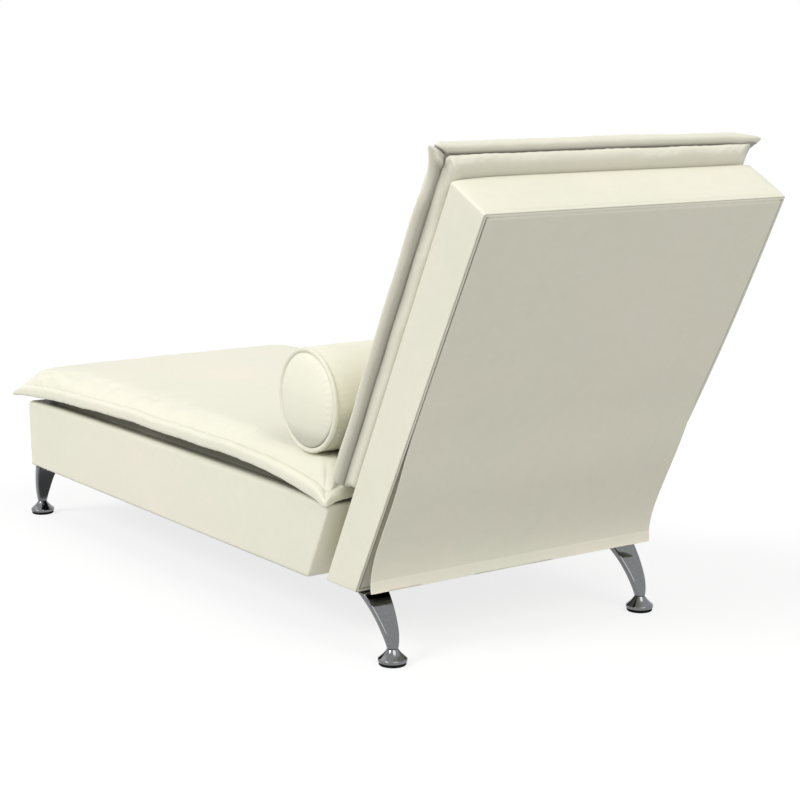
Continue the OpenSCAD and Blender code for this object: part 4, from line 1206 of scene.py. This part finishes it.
legs = {
    "frontX": 0.272,
    "rearX": 0.252,
    "frontOut": 0.016,
    "rearOut": 0.050,
    "frontReach": 0.030,
    "rearReach": 0.050,
    "top": 0.105,
    "footH": 0.026,
    "power": 1.65,
    "wTop": 0.046,
    "wNeck": 0.017,
    "t": 0.014,
    "root": 0.008,
    "cornerLow": 0.0078,
    "cornerHigh": 0.0022,
    "plateT": 0.003,
    "plateL": 0.056,
    "plateW": 0.044,
    "plateGap": 0.004,
    "plateR": 0.006,
    "plateEdge": 0.0008,
    "innerDarkReflection": 0.85,
}


def legRings(lines, heights, inward):
    # Outlines at their heights; what reaches towards -Y is mirrored, so it is walked the other way round
    rings = np.array([atHeight(line, z) for line, z in zip(lines, heights)]) * np.array([1, inward, 1])
    return rings if inward > 0 else rings[:, ::-1]


def buildLeg(spot, footX, footY, inward, reach, outBy):
    # The middle line leans in by a power of the height; the width grows straight from the neck up
    t = np.linspace(0, 1, 46)
    z = legs["footH"] + (legs["top"] - legs["footH"]) * t
    centre = reach * t ** legs["power"]
    halfT = (legs["wNeck"] + (legs["t"] - legs["wNeck"]) * np.minimum(1, t / 0.4)) / 2
    outerY = centre - halfT
    innerY = centre + halfT + legs["root"] * t**6
    halfX = (legs["wNeck"] + (legs["wTop"] - legs["wNeck"]) * t) / 2
    radius = legs["cornerLow"] + (legs["cornerHigh"] - legs["cornerLow"]) * ramp(t, 0.35) ** 0.7
    lines = [roundedOutline(*sizes, -0.0005, (10, 14, 8)) for sizes in zip(halfX, outerY, innerY, radius)]
    rings = legRings(lines, z, inward)
    place = np.array([footX, footY, 0])
    low = place + [0, inward * centre[0], z[0]]
    high = place + [0, inward * (outerY[-1] + innerY[-1]) / 2, z[-1]]
    shank = closedSkin("leg_" + spot + "Shank", rings + place, low, high)
    # Painted reflection: the inner faces of the front legs are darker between their edges, standing in for
    # the dark underside they reflect
    across = np.clip(1.15 - np.abs(rings[..., 0]) / halfX[:, None], 0, 0.30) / 0.30
    facing = ramp(inward * rings[..., 1] - centre[:, None], halfT[:, None]) ** 2
    setTone(shank, legs["innerDarkReflection"] * (inward > 0) * across * facing * ramp(t, 0.12)[:, None])
    dress(shank, "chrome", "couch", ["leg_" + spot])
    edge, plateT = legs["plateEdge"], legs["plateT"]
    inner = outBy + legs["plateGap"] + legs["plateL"]
    outer = inner - legs["plateL"]
    offsets = [-0.012, -edge, 0, 0, -edge, -0.012]
    half, r = legs["plateW"] / 2, legs["plateR"]
    lines = [roundedOutline(half + o, outer - o, inner + o, r + o * 0.4, 0.0, (12, 12, 8)) for o in offsets]
    heights = legs["top"] + np.array([0, 0, edge, plateT - edge, plateT, plateT])
    low = place + [0, inward * (inner - legs["plateL"] / 2), legs["top"]]
    rings = legRings(lines, heights, inward) + place
    dress(closedSkin("leg_" + spot + "Plate", rings, low, low + [0, 0, plateT]), "chrome")


feet = {
    # radius and height, from the sole round the bell's lower edge to its shoulder, cone and stem
    "sole": [(0.004, 0.0021), (0.0059, 0.0021), (0.0060, 0.0023), (0.0060, 0.0050), (0.0200, 0.0051)],
    "edge": (0.0215, 0.0068, 0.0015),
    "shoulder": (0.0215, 0.0096, 0.0015, 0.0018),
    "coneR": (0.0219, 0.0092),
    "coneH": (0.0114, 0.0246),
    "hollow": 0.0010,
    "stem": [
        (0.0086, 0.0256), (0.0080, 0.0260), (0.0031, 0.0260),
        (0.0030, 0.0264), (0.0030, 0.0376), (0.0024, 0.0380),
    ],
    "glide": [
        (0.012, 0.0), (0.0192, 0.0), (0.0204, 0.0004), (0.0213, 0.0014), (0.0215, 0.0026), (0.0215, 0.0044),
        (0.0210, 0.0050), (0.0064, 0.0050), (0.0061, 0.0047), (0.0061, 0.0021), (0.002, 0.0020),
    ],
}


def lathe(name, profile, x, y):
    # A profile of radius and height turned once round its axis
    angle = np.arange(96) / 96 * 2 * math.pi
    r, z = np.array(profile).T[:, :, None]
    rings = np.stack([x + r * np.cos(angle), y + r * np.sin(angle), np.broadcast_to(z, (len(z), 96))], -1)
    return closedSkin(name, rings, [x, y, profile[0][1]], [x, y, profile[-1][1]])


def buildFoot(spot, x, y):
    # A quarter arc round the lower edge, an arc over the shoulder and a cone hollowed by a half sine
    r, z, bend = feet["edge"]
    edge = [(r + bend * math.sin(a), z - bend * math.cos(a)) for a in np.linspace(0.1, math.pi / 2, 5)]
    r, z, bendR, bendH = feet["shoulder"]
    shoulder = [(r + bendR * math.cos(a), z + bendH * math.sin(a)) for a in np.linspace(0, 1.0, 5)]
    (r0, r1), (z0, z1) = feet["coneR"], feet["coneH"]
    s = np.linspace(0.05, 1, 12)
    cone = np.stack([r0 + (r1 - r0) * s - feet["hollow"] * np.sin(math.pi * s), z0 + (z1 - z0) * s], -1)
    profile = feet["sole"] + edge + shoulder + cone.tolist() + feet["stem"]
    dress(lathe("foot_" + spot + "Bell", profile, x, y), "chrome", "foot_" + spot, ["foot_" + spot])
    disc = lathe("glide_" + spot + "Disc", feet["glide"], x, y)
    dress(disc, "black_rubber", "foot_" + spot, ["glide_" + spot])


frontY = -legs["frontOut"] - midY
rearY = rearLowY + legs["rearOut"] - midY
for sideName, side in (("left", 1), ("right", -1)):
    frontX, rearX = side * legs["frontX"], side * legs["rearX"]
    buildLeg("front_" + sideName, frontX, frontY, 1, legs["frontReach"], legs["frontOut"])
    buildLeg("rear_" + sideName, rearX, rearY, -1, legs["rearReach"], legs["rearOut"])
    buildFoot("front_" + sideName, frontX, frontY)
    buildFoot("rear_" + sideName, rearX, rearY)
print("legs done")


# Floor, light and camera

studio = {
    "camera": (1.85011, 3.512499 - midY, 0.918),
    "azimuth": 144.72674,
    "elevation": 10.30315,
    "lens": 86.084,
    "shift": (-0.013671, 0.002754),
    "world": 0.44,
    "floorHalf": 30.0,
    "floorTone": 0.58,
    "glow": 0.80,
    # where each soft sun comes from, its strength as a share of full light, and its softness in degrees
    "suns": {
        "keySun": ((1.0, 0.0, 0.84), 0.545, 22),
        "frontSun": ((0.15, -0.8, 1.0), 0.05, 40),
        "rearSun": ((0.05, 1.0, 1.0), 0.31, 40),
    },
}


def splitRays(tree, plain, seen, kind):
    # One shader lights the object, the other is what the camera, a reflection or clear material sees
    path = tree.nodes.new("ShaderNodeLightPath").outputs
    both = mathNode(tree, "MAXIMUM", path["Is Camera Ray"], path["Is Glossy Ray"])
    both = mathNode(tree, "MAXIMUM", both, path["Is Transmission Ray"])
    mix = addNode(tree, "MixShader", {0: both, 1: plain.outputs[0], 2: seen.outputs[0]})
    addNode(tree, kind, {0: mix.outputs[0]})


def buildFloor():
    # A flat square: pale for the light, nearly white for the camera
    s = studio["floorHalf"]
    mesh = bpy.data.meshes.new("studioFloor")
    mesh.from_pydata([(-s, -s, 0), (s, -s, 0), (s, s, 0), (-s, s, 0)], [], [(0, 1, 2, 3)])
    floor = linked("studioFloor", mesh)
    mat = bpy.data.materials.new("paleFloor")
    tree = emptyTree(mat)
    plain = addNode(tree, "BsdfDiffuse", {0: (studio["floorTone"],) * 3})
    shaded = addNode(tree, "BsdfDiffuse", {0: (1, 1, 1)})
    glow = addNode(tree, "Emission", {"Strength": 1.0})
    white = addNode(tree, "MixShader", {0: studio["glow"], 1: shaded.outputs[0], 2: glow.outputs[0]})
    splitRays(tree, plain, white, "OutputMaterial")
    mesh.materials.append(mat)


def buildLight():
    world = bpy.data.worlds.new("studioWorld")
    bpy.context.scene.world = world
    tree = emptyTree(world)
    light = addNode(tree, "Background", {0: (1, 1, 1), 1: studio["world"]})
    white = addNode(tree, "Background", {0: (1, 1, 1), 1: 1.0})
    splitRays(tree, light, white, "OutputWorld")
    for name, (way, share, soft) in studio["suns"].items():
        data = bpy.data.lights.new(name, "SUN")
        data.energy = share * math.pi
        data.angle = math.radians(soft)
        lamp = linked(name, data)
        lamp.rotation_mode = "QUATERNION"
        lamp.rotation_quaternion = Vector(way).to_track_quat("Z", "Y")
        lamp.location = Vector(way) * 3


def buildCamera():
    # The photo's view: a place, two angles and a lens moved off its middle
    camera = bpy.data.cameras.new("studioCamera")
    camera.lens = studio["lens"]
    camera.sensor_width = 36.0
    camera.shift_x, camera.shift_y = studio["shift"]
    camera.clip_end = 200
    eye = linked("studioCamera", camera)
    a, e = math.radians(studio["azimuth"]), math.radians(studio["elevation"])
    back = Vector((math.sin(a) * math.cos(e), -math.cos(a) * math.cos(e), math.sin(e)))
    eye.location = studio["camera"]
    eye.rotation_mode = "QUATERNION"
    eye.rotation_quaternion = (-back).to_track_quat("-Z", "Y")
    bpy.context.scene.camera = eye
    bpy.context.scene.view_settings.view_transform = "Standard"


buildFloor()
buildLight()
buildCamera()
print("studio done")
